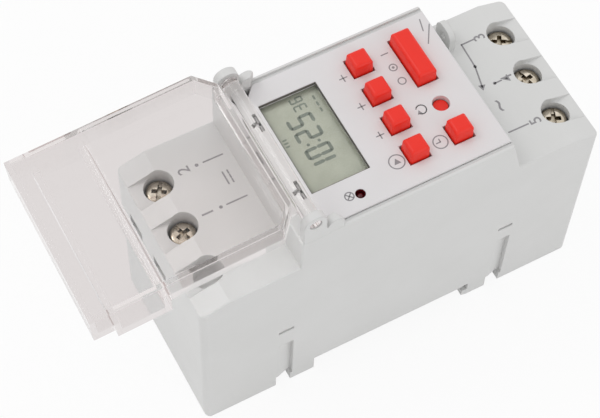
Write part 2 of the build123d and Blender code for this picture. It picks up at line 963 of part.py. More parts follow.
def crystal():
    """The clock crystal, lying under the logic board."""
    x = (crystal_x - crystal_length / 2, crystal_x + crystal_length / 2)
    y = (crystal_y - crystal_width / 2, crystal_y + crystal_width / 2)
    return block(x, y, (logic_bottom - crystal_height, logic_bottom))


nodes = {
    "housing": housing(),
    "rear_cover": rear_cover(),
    "front_panel": front_panel(),
    "clear_cover": clear_cover(),
    "rail_clip": rail_clip(),
    "clip_spring": clip_spring(),
    "lcd_window": lcd_window(),
    "lcd_glass": lcd_glass(),
    "lcd_reflector": lcd_reflector(),
    "contact_strips": contact_strips(),
    "status_led": status_led(),
    "logic_board": logic_board(),
    "power_board": power_board(),
    "board_screws": board_screws(),
    "tactile_switches": tactile_switches(),
    "relay": relay(),
    "supply_capacitor": supply_capacitor(),
    "smoothing_capacitor": smoothing_capacitor(),
    "link_ribbon": link_ribbon(),
    "cell_holder": cell_holder(),
    "reserve_cell": reserve_cell(),
    "microcontroller": microcontroller(),
    "crystal": crystal(),
    "key_reset": reset_key(),
    "plunger_reset": plunger(reset_x, reset_y),
}
for key_name, key_x, key_y, key_across, key_along in key_places():
    nodes[f"key_{key_name}"] = square_key(key_x, key_y, key_across, key_along)
    nodes[f"plunger_{key_name}"] = plunger(key_x, key_y)
for terminal, place_x, place_y in terminal_places():
    nodes[f"terminal_screw_{terminal}"] = terminal_screw(place_x, place_y)
    nodes[f"terminal_cage_{terminal}"] = terminal_cage(place_x, place_y)
    nodes[f"busbar_{terminal}"] = busbar(place_x, place_y)

os.makedirs("parts", exist_ok=True)
for node, solid in nodes.items():
    export_step(solid, f"parts/{node}.step")
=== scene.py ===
"""Dresses the digital timer switch: finishes, clear cover, keys, screws, spring, trim, marks and display."""

import json
import logging
import math
from collections.abc import Callable, Iterator, Mapping
from contextlib import contextmanager
from dataclasses import dataclass, field
from enum import Enum

import bpy
from mathutils import Matrix, Vector

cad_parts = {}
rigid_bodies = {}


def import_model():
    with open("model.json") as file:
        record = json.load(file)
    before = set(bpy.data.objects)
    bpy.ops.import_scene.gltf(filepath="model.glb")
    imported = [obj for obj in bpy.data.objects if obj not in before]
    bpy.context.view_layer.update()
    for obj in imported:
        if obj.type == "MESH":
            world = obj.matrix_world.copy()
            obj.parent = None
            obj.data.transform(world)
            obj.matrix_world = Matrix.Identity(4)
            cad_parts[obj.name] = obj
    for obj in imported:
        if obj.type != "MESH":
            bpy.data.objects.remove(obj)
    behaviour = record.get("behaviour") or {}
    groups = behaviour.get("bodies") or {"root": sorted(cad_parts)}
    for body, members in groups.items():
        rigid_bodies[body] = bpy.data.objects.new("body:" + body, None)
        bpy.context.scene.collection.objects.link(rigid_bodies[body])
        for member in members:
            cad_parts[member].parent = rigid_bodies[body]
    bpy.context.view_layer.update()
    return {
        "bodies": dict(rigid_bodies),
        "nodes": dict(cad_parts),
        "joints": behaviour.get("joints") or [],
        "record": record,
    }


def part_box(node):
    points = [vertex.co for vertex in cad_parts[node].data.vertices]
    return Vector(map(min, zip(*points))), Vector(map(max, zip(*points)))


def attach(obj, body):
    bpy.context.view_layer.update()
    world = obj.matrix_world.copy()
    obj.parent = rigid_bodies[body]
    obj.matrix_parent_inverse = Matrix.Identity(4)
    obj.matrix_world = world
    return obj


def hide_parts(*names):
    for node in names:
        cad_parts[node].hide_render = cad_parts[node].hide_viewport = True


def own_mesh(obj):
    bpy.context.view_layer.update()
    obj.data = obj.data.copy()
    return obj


log = logging.getLogger("timer_switch")

MM = 0.001
Colour = tuple[float, float, float]
Screen = tuple[int, int, int]
Place = tuple[float, float]
Spot = tuple[float, float, float]
Stroke = tuple[Place, Place]
Round = tuple[Place, float]
Arrow = tuple[Place, float, float]
Piece = bpy.types.Object
Material = bpy.types.Material
Node = bpy.types.Node
Socket = bpy.types.NodeSocket


def linear(colour: Screen) -> Colour:
    """Turns a colour as a screen shows it into the linear values that a shader takes.

    Args:
        colour: Its red, green and blue parts, 0 to 255.

    Returns:
        The three linear values.
    """
    shares = [part / 255 for part in colour]
    return tuple(share / 12.92 if share <= 0.04045 else ((share + 0.055) / 1.055) ** 2.4 for share in shares)


class Group(Enum):
    """The surface effects that several materials share."""

    MOULDED = "moulded_surface"
    DRAWN_METAL = "drawn_metal"
    TRACKS = "board_tracks"


class Body(Enum):
    """The bodies that new pieces ride on, apart from the keys' and screws' own."""

    CASING = "casing"
    COVER = "cover"
    CLIP = "clip"


class Pick(Enum):
    """What edit mode selects."""

    CORNERS = "VERT"
    EDGES = "EDGE"
    FACES = "FACE"


class Sketch:
    """Adds nodes to a node tree and links them."""

    def __init__(self, tree: bpy.types.NodeTree) -> None:
        """Takes a material's, a world's or a group's node tree to draw in."""
        self.tree = tree

    @classmethod
    def on(cls, owner: Material | bpy.types.World) -> "Sketch":
        """Empties the node tree of a material or world, to draw in it.

        Args:
            owner: The material or world.

        Returns:
            Its sketch.
        """
        owner.use_nodes = True
        owner.node_tree.nodes.clear()
        return cls(owner.node_tree)

    def add(self, kind: str, inputs: Mapping[str | int, object] | None = None, **values: object) -> Node:
        """Adds a node, sets its properties and feeds its inputs.

        Args:
            kind: Blender's name of the node type.
            inputs: What each input takes, by its name or number.
            **values: Properties of the node by name.

        Returns:
            The new node.
        """
        node = self.tree.nodes.new(kind)
        for name, value in values.items():
            setattr(node, name, value)
        self.feed(node, inputs or {})
        return node

    def feed(self, node: Node, inputs: Mapping[str | int, object]) -> None:
        """Links outputs to a node's inputs, or sets the inputs to plain values.

        Args:
            node: The node that takes the values.
            inputs: An output, a number or a tuple of numbers for each input's name or number.
        """
        for name, value in inputs.items():
            target = node.inputs[name]
            if isinstance(value, Socket):
                self.tree.links.new(value, target)
            elif isinstance(value, tuple) and target.type == "RGBA" and len(value) == 3:
                target.default_value = (*value, 1.0)
            else:
                target.default_value = value

    def place(self) -> Socket:
        """Adds the object's own coordinates."""
        return self.add("ShaderNodeTexCoord").outputs["Object"]

    def noise(self, vector: Socket, scale: object, detail: float) -> Socket:
        """Adds a noise texture over the coordinates, and gives its grey output."""
        node = self.add("ShaderNodeTexNoise", {"Vector": vector, "Scale": scale, "Detail": detail})
        return node.outputs["Fac"]

    def remap(self, value: Socket, low: object, high: object, start: float = 0.3, end: float = 0.7) -> Socket:
        """Spreads a grey value, so that the start gives low and the end gives high."""
        node = self.add("ShaderNodeMapRange", {"Value": value, "From Min": start, "From Max": end,
                                               "To Min": low, "To Max": high})
        return node.outputs["Result"]

    def maths(self, operation: str, first: object, second: object, clamp: bool = False) -> Socket:
        """Adds a maths node on two numbers or outputs, clamped between 0 and 1 or not."""
        node = self.add("ShaderNodeMath", {0: first, 1: second}, operation=operation, use_clamp=clamp)
        return node.outputs[0]

    def mix(self, share: object, first: object, second: object, blend: str = "MIX") -> Socket:
        """Mixes two colours.

        Args:
            share: How much of the second colour shows.
            first: The first colour or output.
            second: The second colour or output.
            blend: Blender's name of the blend type.

        Returns:
            The mixed colour.
        """
        node = self.add("ShaderNodeMix", data_type="RGBA", blend_type=blend)
        self.feed(node, {0: share, 6: first, 7: second})
        return node.outputs[2]

    def either(self, share: Socket, first: Socket, second: Socket) -> Socket:
        """Mixes two shaders by the share of the second one."""
        return self.add("ShaderNodeMixShader", {0: share, 1: first, 2: second}).outputs["Shader"]

    def soft_normal(self, radius: Socket) -> Socket:
        """Adds a normal that rounds the edges by a radius."""
        return self.add("ShaderNodeBevel", {"Radius": radius}, samples=6).outputs["Normal"]

    def bump(self, height: Socket, normal: Socket | None = None) -> Socket:
        """Turns a height in metres into a normal, over the given one or the surface's own."""
        inputs = {"Strength": 1.0, "Distance": 1.0, "Height": height}
        return self.add("ShaderNodeBump", inputs | ({"Normal": normal} if normal else {})).outputs["Normal"]


class SurfaceGroups:
    """The shared node groups, each built once."""

    MOTTLE_TINT: Screen = (214, 214, 210)
    # Painted shade: the brown that the metal darkens towards in its hollows.
    PAINTED_HOLLOW_SHADE: Screen = (98, 86, 66)
    MEETING_NORMALS: Place = (0.75, 0.995)
    HIGHLIGHT_PATCHES: Place = (0.35, 1.0)
    STAINED: Place = (0.42, 0.68)
    OPEN_SKY: Place = (0.25, 0.85)
    TRACK_EDGE: Place = (0.05, 0.08)
    TRACK_HEIGHT = 0.03 * MM
    LACQUER_SCALE = 900.0
    LACQUER_ROUGH: Place = (0.24, 0.36)

    def __init__(self) -> None:
        """Builds every group."""
        self.trees = {Group.MOULDED: self._moulded(), Group.DRAWN_METAL: self._drawn_metal(),
                      Group.TRACKS: self._tracks()}

    @staticmethod
    def _start(group: Group, colours: tuple[str, ...], numbers: tuple[str, ...],
               vectors: tuple[str, ...] = ()) -> tuple[Sketch, Mapping[str, Socket], Node]:
        """Makes an empty group that puts out a colour, a roughness and a normal.

        Args:
            group: Which group it is.
            colours: The names of the colours that it takes.
            numbers: The names of the numbers that it takes.
            vectors: The names of the vectors that it takes.

        Returns:
            The sketch, what the group takes by name, and its output node.
        """
        tree = bpy.data.node_groups.new(group.value, "ShaderNodeTree")
        for way, kind, names in (("INPUT", "Color", colours), ("INPUT", "Vector", vectors),
                                 ("INPUT", "Float", numbers), ("OUTPUT", "Color", ("Colour",)),
                                 ("OUTPUT", "Float", ("Roughness",)), ("OUTPUT", "Vector", ("Normal",))):
            for name in names:
                tree.interface.new_socket(name=name, in_out=way, socket_type=f"NodeSocket{kind}")
        sketch = Sketch(tree)
        return sketch, sketch.add("NodeGroupInput").outputs, sketch.add("NodeGroupOutput")

    def _moulded(self) -> bpy.types.NodeTree:
        """Builds the surface of moulded plastic: faint mottling, fine grain and a painted highlight, in
        patches, along the edges.

        Returns:
            The group.
        """
        sketch, given, result = self._start(
            Group.MOULDED, ("Colour", "Highlight Colour"),
            ("Mottle Scale", "Mottle", "Grain Scale", "Grain Height", "Edge Radius", "Edge Highlight",
             "Rough Low", "Rough High"))
        place = sketch.place()
        cloud = sketch.noise(place, given["Mottle Scale"], 3.0)
        grain = sketch.noise(place, given["Grain Scale"], 2.0)
        shade = sketch.maths("MULTIPLY", sketch.remap(cloud, 1.0, 0.0), given["Mottle"])
        darker = sketch.mix(1.0, given["Colour"], linear(self.MOTTLE_TINT), "MULTIPLY")
        # Painted highlight: where the rounded normal parts from the true one, the colour is lightened in
        # patches towards the highlight colour.
        soft = sketch.soft_normal(given["Edge Radius"])
        true = sketch.add("ShaderNodeNewGeometry").outputs["Normal"]
        meet = sketch.add("ShaderNodeVectorMath", {0: soft, 1: true}, operation="DOT_PRODUCT")
        edge = sketch.remap(meet.outputs["Value"], 1.0, 0.0, *self.MEETING_NORMALS)
        for worn in (given["Edge Highlight"], sketch.remap(cloud, *self.HIGHLIGHT_PATCHES)):
            edge = sketch.maths("MULTIPLY", edge, worn, clamp=True)
        height = sketch.maths("MULTIPLY", grain, given["Grain Height"])
        sketch.feed(result, {
            "Colour": sketch.mix(edge, sketch.mix(shade, given["Colour"], darker), given["Highlight Colour"]),
            "Roughness": sketch.remap(grain, given["Rough Low"], given["Rough High"]),
            "Normal": sketch.bump(height, soft)})
        return sketch.tree

    def _drawn_metal(self) -> bpy.types.NodeTree:
        """Builds the surface of drawn or turned metal: fine lines, blotches and painted shade that darkens
        its hollows.

        Returns:
            The group.
        """
        sketch, given, result = self._start(
            Group.DRAWN_METAL, ("Colour", "Stain"),
            ("Line Height", "Stain Scale", "Stain Amount", "Hollow Reach", "Hollow Shade", "Edge Radius",
             "Rough Low", "Rough High"), ("Line Stretch",))
        place = sketch.place()
        drawn = sketch.add("ShaderNodeMapping", {"Vector": place, "Scale": given["Line Stretch"]})
        lines = sketch.noise(drawn.outputs["Vector"], 1.0, 2.0)
        blotch = sketch.noise(place, given["Stain Scale"], 4.0)
        share = sketch.maths("MULTIPLY", sketch.remap(blotch, 0.0, 1.0, *self.STAINED),
                             given["Stain Amount"], clamp=True)
        # Painted shade: ambient occlusion darkens the colour towards a brown in recesses and near walls.
        sky = sketch.add("ShaderNodeAmbientOcclusion", {"Distance": given["Hollow Reach"]}, samples=8)
        painted_shade = sketch.remap(sky.outputs["AO"], given["Hollow Shade"], 0.0, *self.OPEN_SKY)
        metal = sketch.mix(share, given["Colour"], given["Stain"])
        height = sketch.maths("MULTIPLY", lines, given["Line Height"])
        sketch.feed(result, {
            "Colour": sketch.mix(painted_shade, metal, linear(self.PAINTED_HOLLOW_SHADE)),
            "Roughness": sketch.remap(blotch, given["Rough Low"], given["Rough High"]),
            "Normal": sketch.bump(height, sketch.soft_normal(given["Edge Radius"]))})
        return sketch.tree

    def _tracks(self) -> bpy.types.NodeTree:
        """Builds a circuit board's copper tracks under its lacquer.

        Returns:
            The group.
        """
        sketch, given, result = self._start(Group.TRACKS, ("Board", "Track"), ("Scale",))
        place = sketch.place()
        cells = sketch.add("ShaderNodeTexVoronoi", distance="CHEBYCHEV", feature="DISTANCE_TO_EDGE")
        sketch.feed(cells, {"Vector": place, "Scale": given["Scale"]})
        line = sketch.remap(cells.outputs["Distance"], 1.0, 0.0, *self.TRACK_EDGE)
        sketch.feed(result, {
            "Colour": sketch.mix(line, given["Board"], given["Track"]),
            "Roughness": sketch.remap(sketch.noise(place, self.LACQUER_SCALE, 2.0), *self.LACQUER_ROUGH),
            "Normal": sketch.bump(sketch.maths("MULTIPLY", line, self.TRACK_HEIGHT))})
        return sketch.tree


class Finish:
    """What every finish shares: a material with one Principled shader."""

    name: str

    def _begin(self) -> tuple[Material, Sketch, Node, Node]:
        """Makes an empty material.

        Returns:
            The material, its sketch, its Principled shader and its output node.
        """
        material = bpy.data.materials.new(self.name)
        sketch = Sketch.on(material)
        shader = sketch.add("ShaderNodeBsdfPrincipled")
        output = sketch.add("ShaderNodeOutputMaterial", {"Surface": shader.outputs["BSDF"]})
        return material, sketch, shader, output

    def _wear(self, tree: bpy.types.NodeTree, changing: Mapping[str, object], plain: Mapping[str, object]
              ) -> Material:
        """Makes a material whose colour, roughness and normal come from a shared group.

        Args:
            tree: The group.
            changing: What the group takes, by name.
            plain: What the shader takes besides, the same all over.

        Returns:
            The finished material.
        """
        material, sketch, shader, _ = self._begin()
        surface = sketch.add("ShaderNodeGroup", changing, node_tree=tree).outputs
        sketch.feed(shader, {"Base Color": surface["Colour"], "Roughness": surface["Roughness"],
                             "Normal": surface["Normal"], **plain})
        return material

    def build(self, groups: SurfaceGroups) -> Material:
        """Builds the material."""
        raise NotImplementedError


@dataclass(frozen=True)
class MouldedPlastic(Finish):
    """Opaque moulded plastic, from matt to satin."""

    name: str
    colour: Screen
    # The colour of the painted highlight along the edges.
    worn: Screen
    rough: Place = (0.38, 0.46)
    mottle_scale: float = 90.0
    mottle: float = 0.10
    grain_scale: float = 5200.0
    grain_height: float = 0.0012 * MM
    edge_radius: float = 0.22 * MM
    # How strongly the painted highlight shows along the edges.
    edge_highlight: float = 0.35
    gloss: float = 0.42
    coat: float = 0.0
    coat_rough: float = 0.12
    depth: float = 0.0
    depth_scale: float = 0.6 * MM

    def build(self, groups: SurfaceGroups) -> Material:
        """Builds the material.

        Args:
            groups: The shared node groups.

        Returns:
            The finished material.
        """
        changing = {"Colour": linear(self.colour), "Highlight Colour": linear(self.worn),
                    "Mottle Scale": self.mottle_scale, "Mottle": self.mottle,
                    "Grain Scale": self.grain_scale, "Grain Height": self.grain_height,
                    "Edge Radius": self.edge_radius, "Edge Highlight": self.edge_highlight,
                    "Rough Low": self.rough[0], "Rough High": self.rough[1]}
        plain = {"Specular IOR Level": self.gloss, "Coat Weight": self.coat,
                 "Coat Roughness": self.coat_rough, "Subsurface Weight": self.depth,
                 "Subsurface Scale": self.depth_scale}
        return self._wear(groups.trees[Group.MOULDED], changing, plain)


@dataclass(frozen=True)
class ClearPlastic(Finish):
    """Clear moulded plastic that lets shadow rays through and has soft, pale edges."""

    name: str
    colour: Screen
    shade: Screen
    edge: Screen
    rough: Place = (0.03, 0.09)
    scuff_scale: float = 1800.0
    scuffed: Place = (0.45, 0.75)
    ripple_scale: float = 120.0
    ripple_height: float = 0.02 * MM
    ior: float = 1.3
    deepest: float = 3.0

    def build(self, groups: SurfaceGroups) -> Material:
        """Builds the material.

        Args:
            groups: The shared node groups.

        Returns:
            The finished material.
        """
        material, sketch, shader, output = self._begin()
        place = sketch.place()
        scuffs = sketch.noise(place, self.scuff_scale, 3.0)
        ripple = sketch.maths("MULTIPLY", sketch.noise(place, self.ripple_scale, 1.0), self.ripple_height)
        sketch.feed(shader, {
            "Base Color": linear(self.colour), "Roughness": sketch.remap(scuffs, *self.rough, *self.scuffed),
            "Normal": sketch.bump(ripple), "Transmission Weight": 1.0, "IOR": self.ior})
        path = sketch.add("ShaderNodeLightPath").outputs
        deep = sketch.maths("GREATER_THAN", path["Ray Depth"], self.deepest)
        surface = shader.outputs["BSDF"]
        for share, tint in ((deep, self.edge), (path["Is Shadow Ray"], self.shade)):
            through = sketch.add("ShaderNodeBsdfTransparent", {"Color": linear(tint)})
            surface = sketch.either(share, surface, through.outputs["BSDF"])
        sketch.feed(output, {"Surface": surface})
        return material


@dataclass(frozen=True)
class DrawnMetal(Finish):
    """Bare or plated metal with drawn or turned lines."""

    name: str
    colour: Screen
    stain: Screen
    stretch: Spot = (9000.0, 600.0, 600.0)
    line_height: float = 0.003 * MM
    stain_scale: float = 700.0
    stain_amount: float = 0.6
    # How far and how strongly the painted shade reaches into hollows.
    hollow_reach: float = 1.2 * MM
    hollow_shade: float = 0.35
    edge_radius: float = 0.12 * MM
    rough: Place = (0.20, 0.38)

    def build(self, groups: SurfaceGroups) -> Material:
        """Builds the material.

        Args:
            groups: The shared node groups.

        Returns:
            The finished material.
        """
        changing = {"Colour": linear(self.colour), "Stain": linear(self.stain), "Line Stretch": self.stretch,
                    "Line Height": self.line_height, "Stain Scale": self.stain_scale,
                    "Stain Amount": self.stain_amount, "Hollow Reach": self.hollow_reach,
                    "Hollow Shade": self.hollow_shade, "Edge Radius": self.edge_radius,
                    "Rough Low": self.rough[0], "Rough High": self.rough[1]}
        return self._wear(groups.trees[Group.DRAWN_METAL], changing, {"Metallic": 1.0})


@dataclass(frozen=True)
class CircuitBoard(Finish):
    """Green lacquered board with its copper tracks showing through."""

    name: str
    board: Screen
    track: Screen
    scale: float = 330.0
    coat: float = 0.4

    def build(self, groups: SurfaceGroups) -> Material:
        """Builds the material with the shared node groups."""
        changing = {"Board": linear(self.board), "Track": linear(self.track), "Scale": self.scale}
        return self._wear(groups.trees[Group.TRACKS], changing, {"Coat Weight": self.coat})


FINISHES: dict[str, Finish] = {finish.name: finish for finish in (
    # Each moulded finish's second colour is the painted highlight along its edges.
    MouldedPlastic("casing_grey", (215, 215, 214), (226, 226, 225)),
    MouldedPlastic("panel_white", (221, 219, 220), (231, 229, 230), rough=(0.34, 0.42),
                   edge_radius=0.16 * MM),
    ClearPlastic("clear_plastic", (249, 248, 248), (253, 253, 253), (236, 231, 230)),
    MouldedPlastic("clip_grey", (186, 187, 185), (205, 205, 203), rough=(0.3, 0.4)),
    DrawnMetal("spring_steel", (176, 176, 180), (120, 118, 116)),
    ClearPlastic("lens_plastic", (246, 248, 246), (250, 250, 250), (240, 240, 238), rough=(0.01, 0.03),
                 ripple_height=0.004 * MM),
    MouldedPlastic("display_glass", (181, 182, 169), (192, 194, 180), rough=(0.22, 0.3), mottle_scale=260.0,
                   mottle=0.35, edge_highlight=0.1, coat=0.3),
    MouldedPlastic("white_plastic", (222, 222, 218), (232, 232, 230)),
    MouldedPlastic("black_rubber", (38, 38, 38), (60, 60, 60), rough=(0.7, 0.8), gloss=0.2),
    MouldedPlastic("led_red", (82, 8, 14), (120, 30, 34), rough=(0.16, 0.22), grain_height=0.0, gloss=0.3,
                   coat=0.3, edge_highlight=0.0),
    CircuitBoard("board_green", (30, 96, 52), (58, 132, 72)),
    DrawnMetal("plated_steel", (200, 200, 202), (150, 148, 146)),
    MouldedPlastic("black_plastic", (40, 40, 42), (74, 74, 76)),
    MouldedPlastic("relay_black", (36, 37, 40), (72, 73, 76), rough=(0.25, 0.35), edge_radius=0.4 * MM),
    MouldedPlastic("capacitor_yellow", (212, 168, 58), (226, 188, 92), rough=(0.2, 0.3),
                   edge_radius=0.5 * MM),
    MouldedPlastic("capacitor_sleeve", (36, 50, 82), (66, 80, 110), rough=(0.2, 0.28), edge_radius=0.5 * MM),
    DrawnMetal("cell_steel", (190, 190, 192), (140, 138, 134), stretch=(4000.0, 4000.0, 400.0)),
    MouldedPlastic("key_red", (237, 46, 32), (246, 88, 70), rough=(0.34, 0.44), mottle=0.05,
                   edge_radius=0.18 * MM, edge_highlight=0.3, gloss=0.35, depth=0.08),
    # The screws take the full painted shade in their recesses and near the well's wall.
    DrawnMetal("nickel_screw", (226, 216, 200), (160, 148, 124), stretch=(5200.0, 5200.0, 900.0),
               hollow_reach=1.6 * MM, hollow_shade=1.0, edge_radius=0.1 * MM, rough=(0.12, 0.26)),
    DrawnMetal("zinc_cage", (188, 190, 194), (146, 146, 142)),
    DrawnMetal("brass_bar", (206, 180, 118), (160, 128, 72)),
)}
MARK_INK = MouldedPlastic("mark_ink", (148, 146, 149), (168, 166, 169), rough=(0.45, 0.55),
                          mottle_scale=1500.0, mottle=0.4, edge_radius=0.01 * MM, edge_highlight=0.0)
# Painted shade: the dull dark grey of the strip that stands in for the shade on the display window's walls.
WINDOW_SHADE = MouldedPlastic("window_shade", (106, 104, 98), (118, 116, 110), rough=(0.7, 0.8), gloss=0.2)
SEGMENT_INK = MouldedPlastic("segment_ink", (124, 130, 122), (130, 136, 128), rough=(0.3, 0.4),
                             mottle_scale=900.0, mottle=0.3, edge_radius=0.01 * MM, edge_highlight=0.0)


class Bench:
    """The modelling steps that several pieces share."""

    MERGE = 0.002 * MM

    @staticmethod
    def clear() -> None:
        """Leaves edit mode and deselects everything."""
        active = bpy.context.view_layer.objects.active
        if active is not None and active.mode != "OBJECT":
            bpy.ops.object.mode_set(mode="OBJECT")
        bpy.ops.object.select_all(action="DESELECT")

    @classmethod
    def add(cls, operator: Callable[..., object], **values: object) -> Piece:
        """Adds a primitive, a text, a lamp or a camera, with nothing else selected.

        Args:
            operator: Blender's operator that adds it.
            **values: The operator's settings by name.

        Returns:
            The new object.
        """
        cls.clear()
        operator(**values)
        return bpy.context.view_layer.objects.active

    @classmethod
    def take(cls, *pieces: Piece) -> None:
        """Selects these objects alone and makes the first one active.

        Args:
            *pieces: The objects.
        """
        cls.clear()
        for piece in pieces:
            piece.select_set(True)
        bpy.context.view_layer.objects.active = pieces[0]

    @classmethod
    def settle(cls, piece: Piece) -> None:
        """Puts a piece's place, turn and scale into its mesh."""
        cls.take(piece)
        bpy.ops.object.transform_apply(location=True, rotation=True, scale=True)

    @staticmethod
    @contextmanager
    def edit(kind: Pick = Pick.CORNERS) -> Iterator[None]:
        """Opens the active object's mesh, with all of it selected, and closes it at the end.

        Args:
            kind: What is selected.

        Yields:
            Nothing, while the mesh is open.
        """
        bpy.ops.object.mode_set(mode="EDIT")
        bpy.ops.mesh.select_mode(type=kind.value)
        bpy.ops.mesh.select_all(action="SELECT")
        yield
        bpy.ops.object.mode_set(mode="OBJECT")

    @classmethod
    @contextmanager
    def pick(cls, piece: Piece, kind: Pick, wanted: Callable[[list[Vector]], bool]) -> Iterator[None]:
        """Opens a piece's mesh, with only the wanted edges or faces selected, and closes it at the end.

        Args:
            piece: The object.
            kind: Whether edges or faces are picked.
            wanted: Tells from the corners of an edge or face whether it is wanted.

        Yields:
            Nothing, while the mesh is open.
        """
        cls.take(piece)
        with cls.edit(kind):
            bpy.ops.mesh.select_all(action="DESELECT")
        spots = [spot.co for spot in piece.data.vertices]
        for part in piece.data.edges if kind is Pick.EDGES else piece.data.polygons:
            part.select = wanted([spots[corner] for corner in part.vertices])
        bpy.ops.object.mode_set(mode="EDIT")
        yield
        bpy.ops.object.mode_set(mode="OBJECT")

    @staticmethod
    def extrude(shift: Spot | Vector) -> None:
        """Extrudes what is selected in the open mesh."""
        bpy.ops.mesh.extrude_region_move(TRANSFORM_OT_translate={"value": shift})

    @staticmethod
    def face_out() -> None:
        """Turns all faces of the open mesh outwards."""
        bpy.ops.mesh.select_all(action="SELECT")
        bpy.ops.mesh.normals_make_consistent(inside=False)

    @classmethod
    def trace(cls, points: list[Vector]) -> Piece:
        """Draws an open line of edges through points.

        Args:
            points: The points, in metres.

        Returns:
            The line's object.
        """
        line = cls.add(bpy.ops.mesh.primitive_plane_add, size=MM, location=(0, 0, 0))
        with cls.edit():
            bpy.ops.mesh.merge(type="CENTER")
            bpy.ops.transform.translate(value=points[0])
            for before, after in zip(points, points[1:]):
                cls.extrude(after - before)
        return line

    @classmethod
    def block(cls, low: Vector, high: Vector) -> Piece:
        """Makes a plain block between two corners.

        Args:
            low: Its lowest corner.
            high: Its highest corner.

        Returns:
            The block.
        """
        block = cls.add(bpy.ops.mesh.primitive_cube_add, size=1, location=(low + high) / 2)
        block.scale = high - low
        cls.settle(block)
        return block

    @classmethod
    def modify(cls, piece: Piece, kind: str, **values: object) -> None:
        """Adds a modifier and applies it.

        Args:
            piece: The object.
            kind: Blender's name of the modifier type.
            **values: The modifier's settings by name.
        """
        cls.take(piece)
        modifier = piece.modifiers.new(kind.lower(), kind)
        for name, value in values.items():
            setattr(modifier, name, value)
        bpy.ops.object.modifier_apply(modifier=modifier.name)

    @classmethod
    def soften(cls, piece: Piece, width: float, segments: int = 2, angle: float = 30.0) -> None:
        """Rounds a piece's edges from an angle in degrees on, by a width in metres."""
        cls.modify(piece, "BEVEL", width=width, segments=segments, limit_method="ANGLE",
                   angle_limit=math.radians(angle))

    @classmethod
    def join(cls, pieces: list[Piece]) -> Piece:
        """Joins pieces into one mesh object at the origin.

        Args:
            pieces: The objects to join.

        Returns:
            The joined object.
        """
        for piece in pieces:
            cls.settle(piece)
        cls.take(*pieces)
        bpy.ops.object.join()
        return pieces[0]

    @classmethod
    def finish(cls, piece: Piece, name: str, body: Body | str, material: Material, slot: str,
               smooth: float = 30.0) -> None:
        """Names and smooths a finished piece, gives it its material and lets it ride on its body.

        Args:
            piece: The object.
            name: The piece's name.
            body: The body that it moves with.
            material: Its material.
            slot: The record's material slot of its finish; not used.
            smooth: The largest angle, in degrees, that is shaded smooth.
        """
        cls.take(piece)
        piece.name = piece.data.name = name
        bpy.ops.object.shade_smooth_by_angle(angle=math.radians(smooth))
        piece.data.materials.clear()
        piece.data.materials.append(material)
        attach(piece, body.value if isinstance(body, Body) else body)
        log.info("%s: %d faces", name, len(piece.data.polygons))


@dataclass
class CoverShell:
    """The clear cover with softened edges, as moulding leaves them."""

    material: Material
    edge: float = 0.22 * MM
    near: float = 0.05 * MM
    flat: float = math.radians(1)
    step_corners: tuple[Round, ...] = (((-49.65, 59.47), 0.9), ((-48.487, 58.438), 0.7))

    def _round_step(self, shell: Piece) -> None:
        """Rounds the inner and outer corner of the step between the shallow and the deep part.

        Args:
            shell: The cover.
        """
        for (x, z), radius in self.step_corners:
            corner = Vector((x, 0, z)) * MM

            def wanted(ends: list[Vector], corner: Vector = corner) -> bool:
                """Tells whether an edge lies along the corner."""
                return all((Vector((end.x, 0, end.z)) - corner).length < self.near for end in ends)

            with Bench.pick(shell, Pick.EDGES, wanted):
                bpy.ops.mesh.bevel(offset=radius * MM, segments=5, affect="EDGES")

    def build(self, source: Piece) -> None:
        """Models the cover over its solid.

        Args:
            source: The CAD node's object.
        """
        shell = bpy.data.objects.new("cover_shell", source.data.copy())
        bpy.context.scene.collection.objects.link(shell)
        Bench.take(shell)
        with Bench.edit():
            bpy.ops.mesh.remove_doubles(threshold=Bench.MERGE)
            bpy.ops.mesh.dissolve_limited(angle_limit=self.flat)
        self._round_step(shell)
        Bench.soften(shell, self.edge, 3)
        Bench.finish(shell, "cover_shell", Body.COVER, self.material, "clear_plastic", 40)
        Bench.modify(shell, "WEIGHTED_NORMAL", mode="FACE_AREA", weight=90, keep_sharp=True)
        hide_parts("clear_cover")


@dataclass
class LeafSpring:
    """The bowed leaf spring behind the rail clip, which the pulled clip presses flat; here it keeps its bow
    and moves with the clip.
    """

    material: Material
    back: float = -38.95 * MM
    front: float = -35.75 * MM
    half_span: float = 4.7 * MM
    bottom: float = 1.5 * MM
    width: float = 1.7 * MM
    thickness: float = 0.36 * MM
    tail: float = -35.55 * MM
    pressed: float = 0.19
    soft: float = 0.06 * MM
    steps: int = 20

    def build(self) -> None:
        """Models the spring."""
        bow = self.front - self.back
        radius = (self.half_span ** 2 + bow ** 2) / (2 * bow)
        reach = math.asin(self.half_span / radius)
        angles = [reach * (2 * step / self.steps - 1) for step in range(self.steps + 1)]
        spring = Bench.trace([Vector((self.front - radius * (1 - math.cos(angle)), radius * math.sin(angle),
                                      self.bottom)) for angle in angles])
        with Bench.edit():
            Bench.extrude((0, 0, self.width))
            Bench.face_out()
        Bench.modify(spring, "SOLIDIFY", thickness=self.thickness, offset=0)
        Bench.soften(spring, self.soft)
        Bench.finish(spring, "leaf_spring", Body.CLIP, self.material, "spring_steel")
        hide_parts("clip_spring")
        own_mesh(spring)


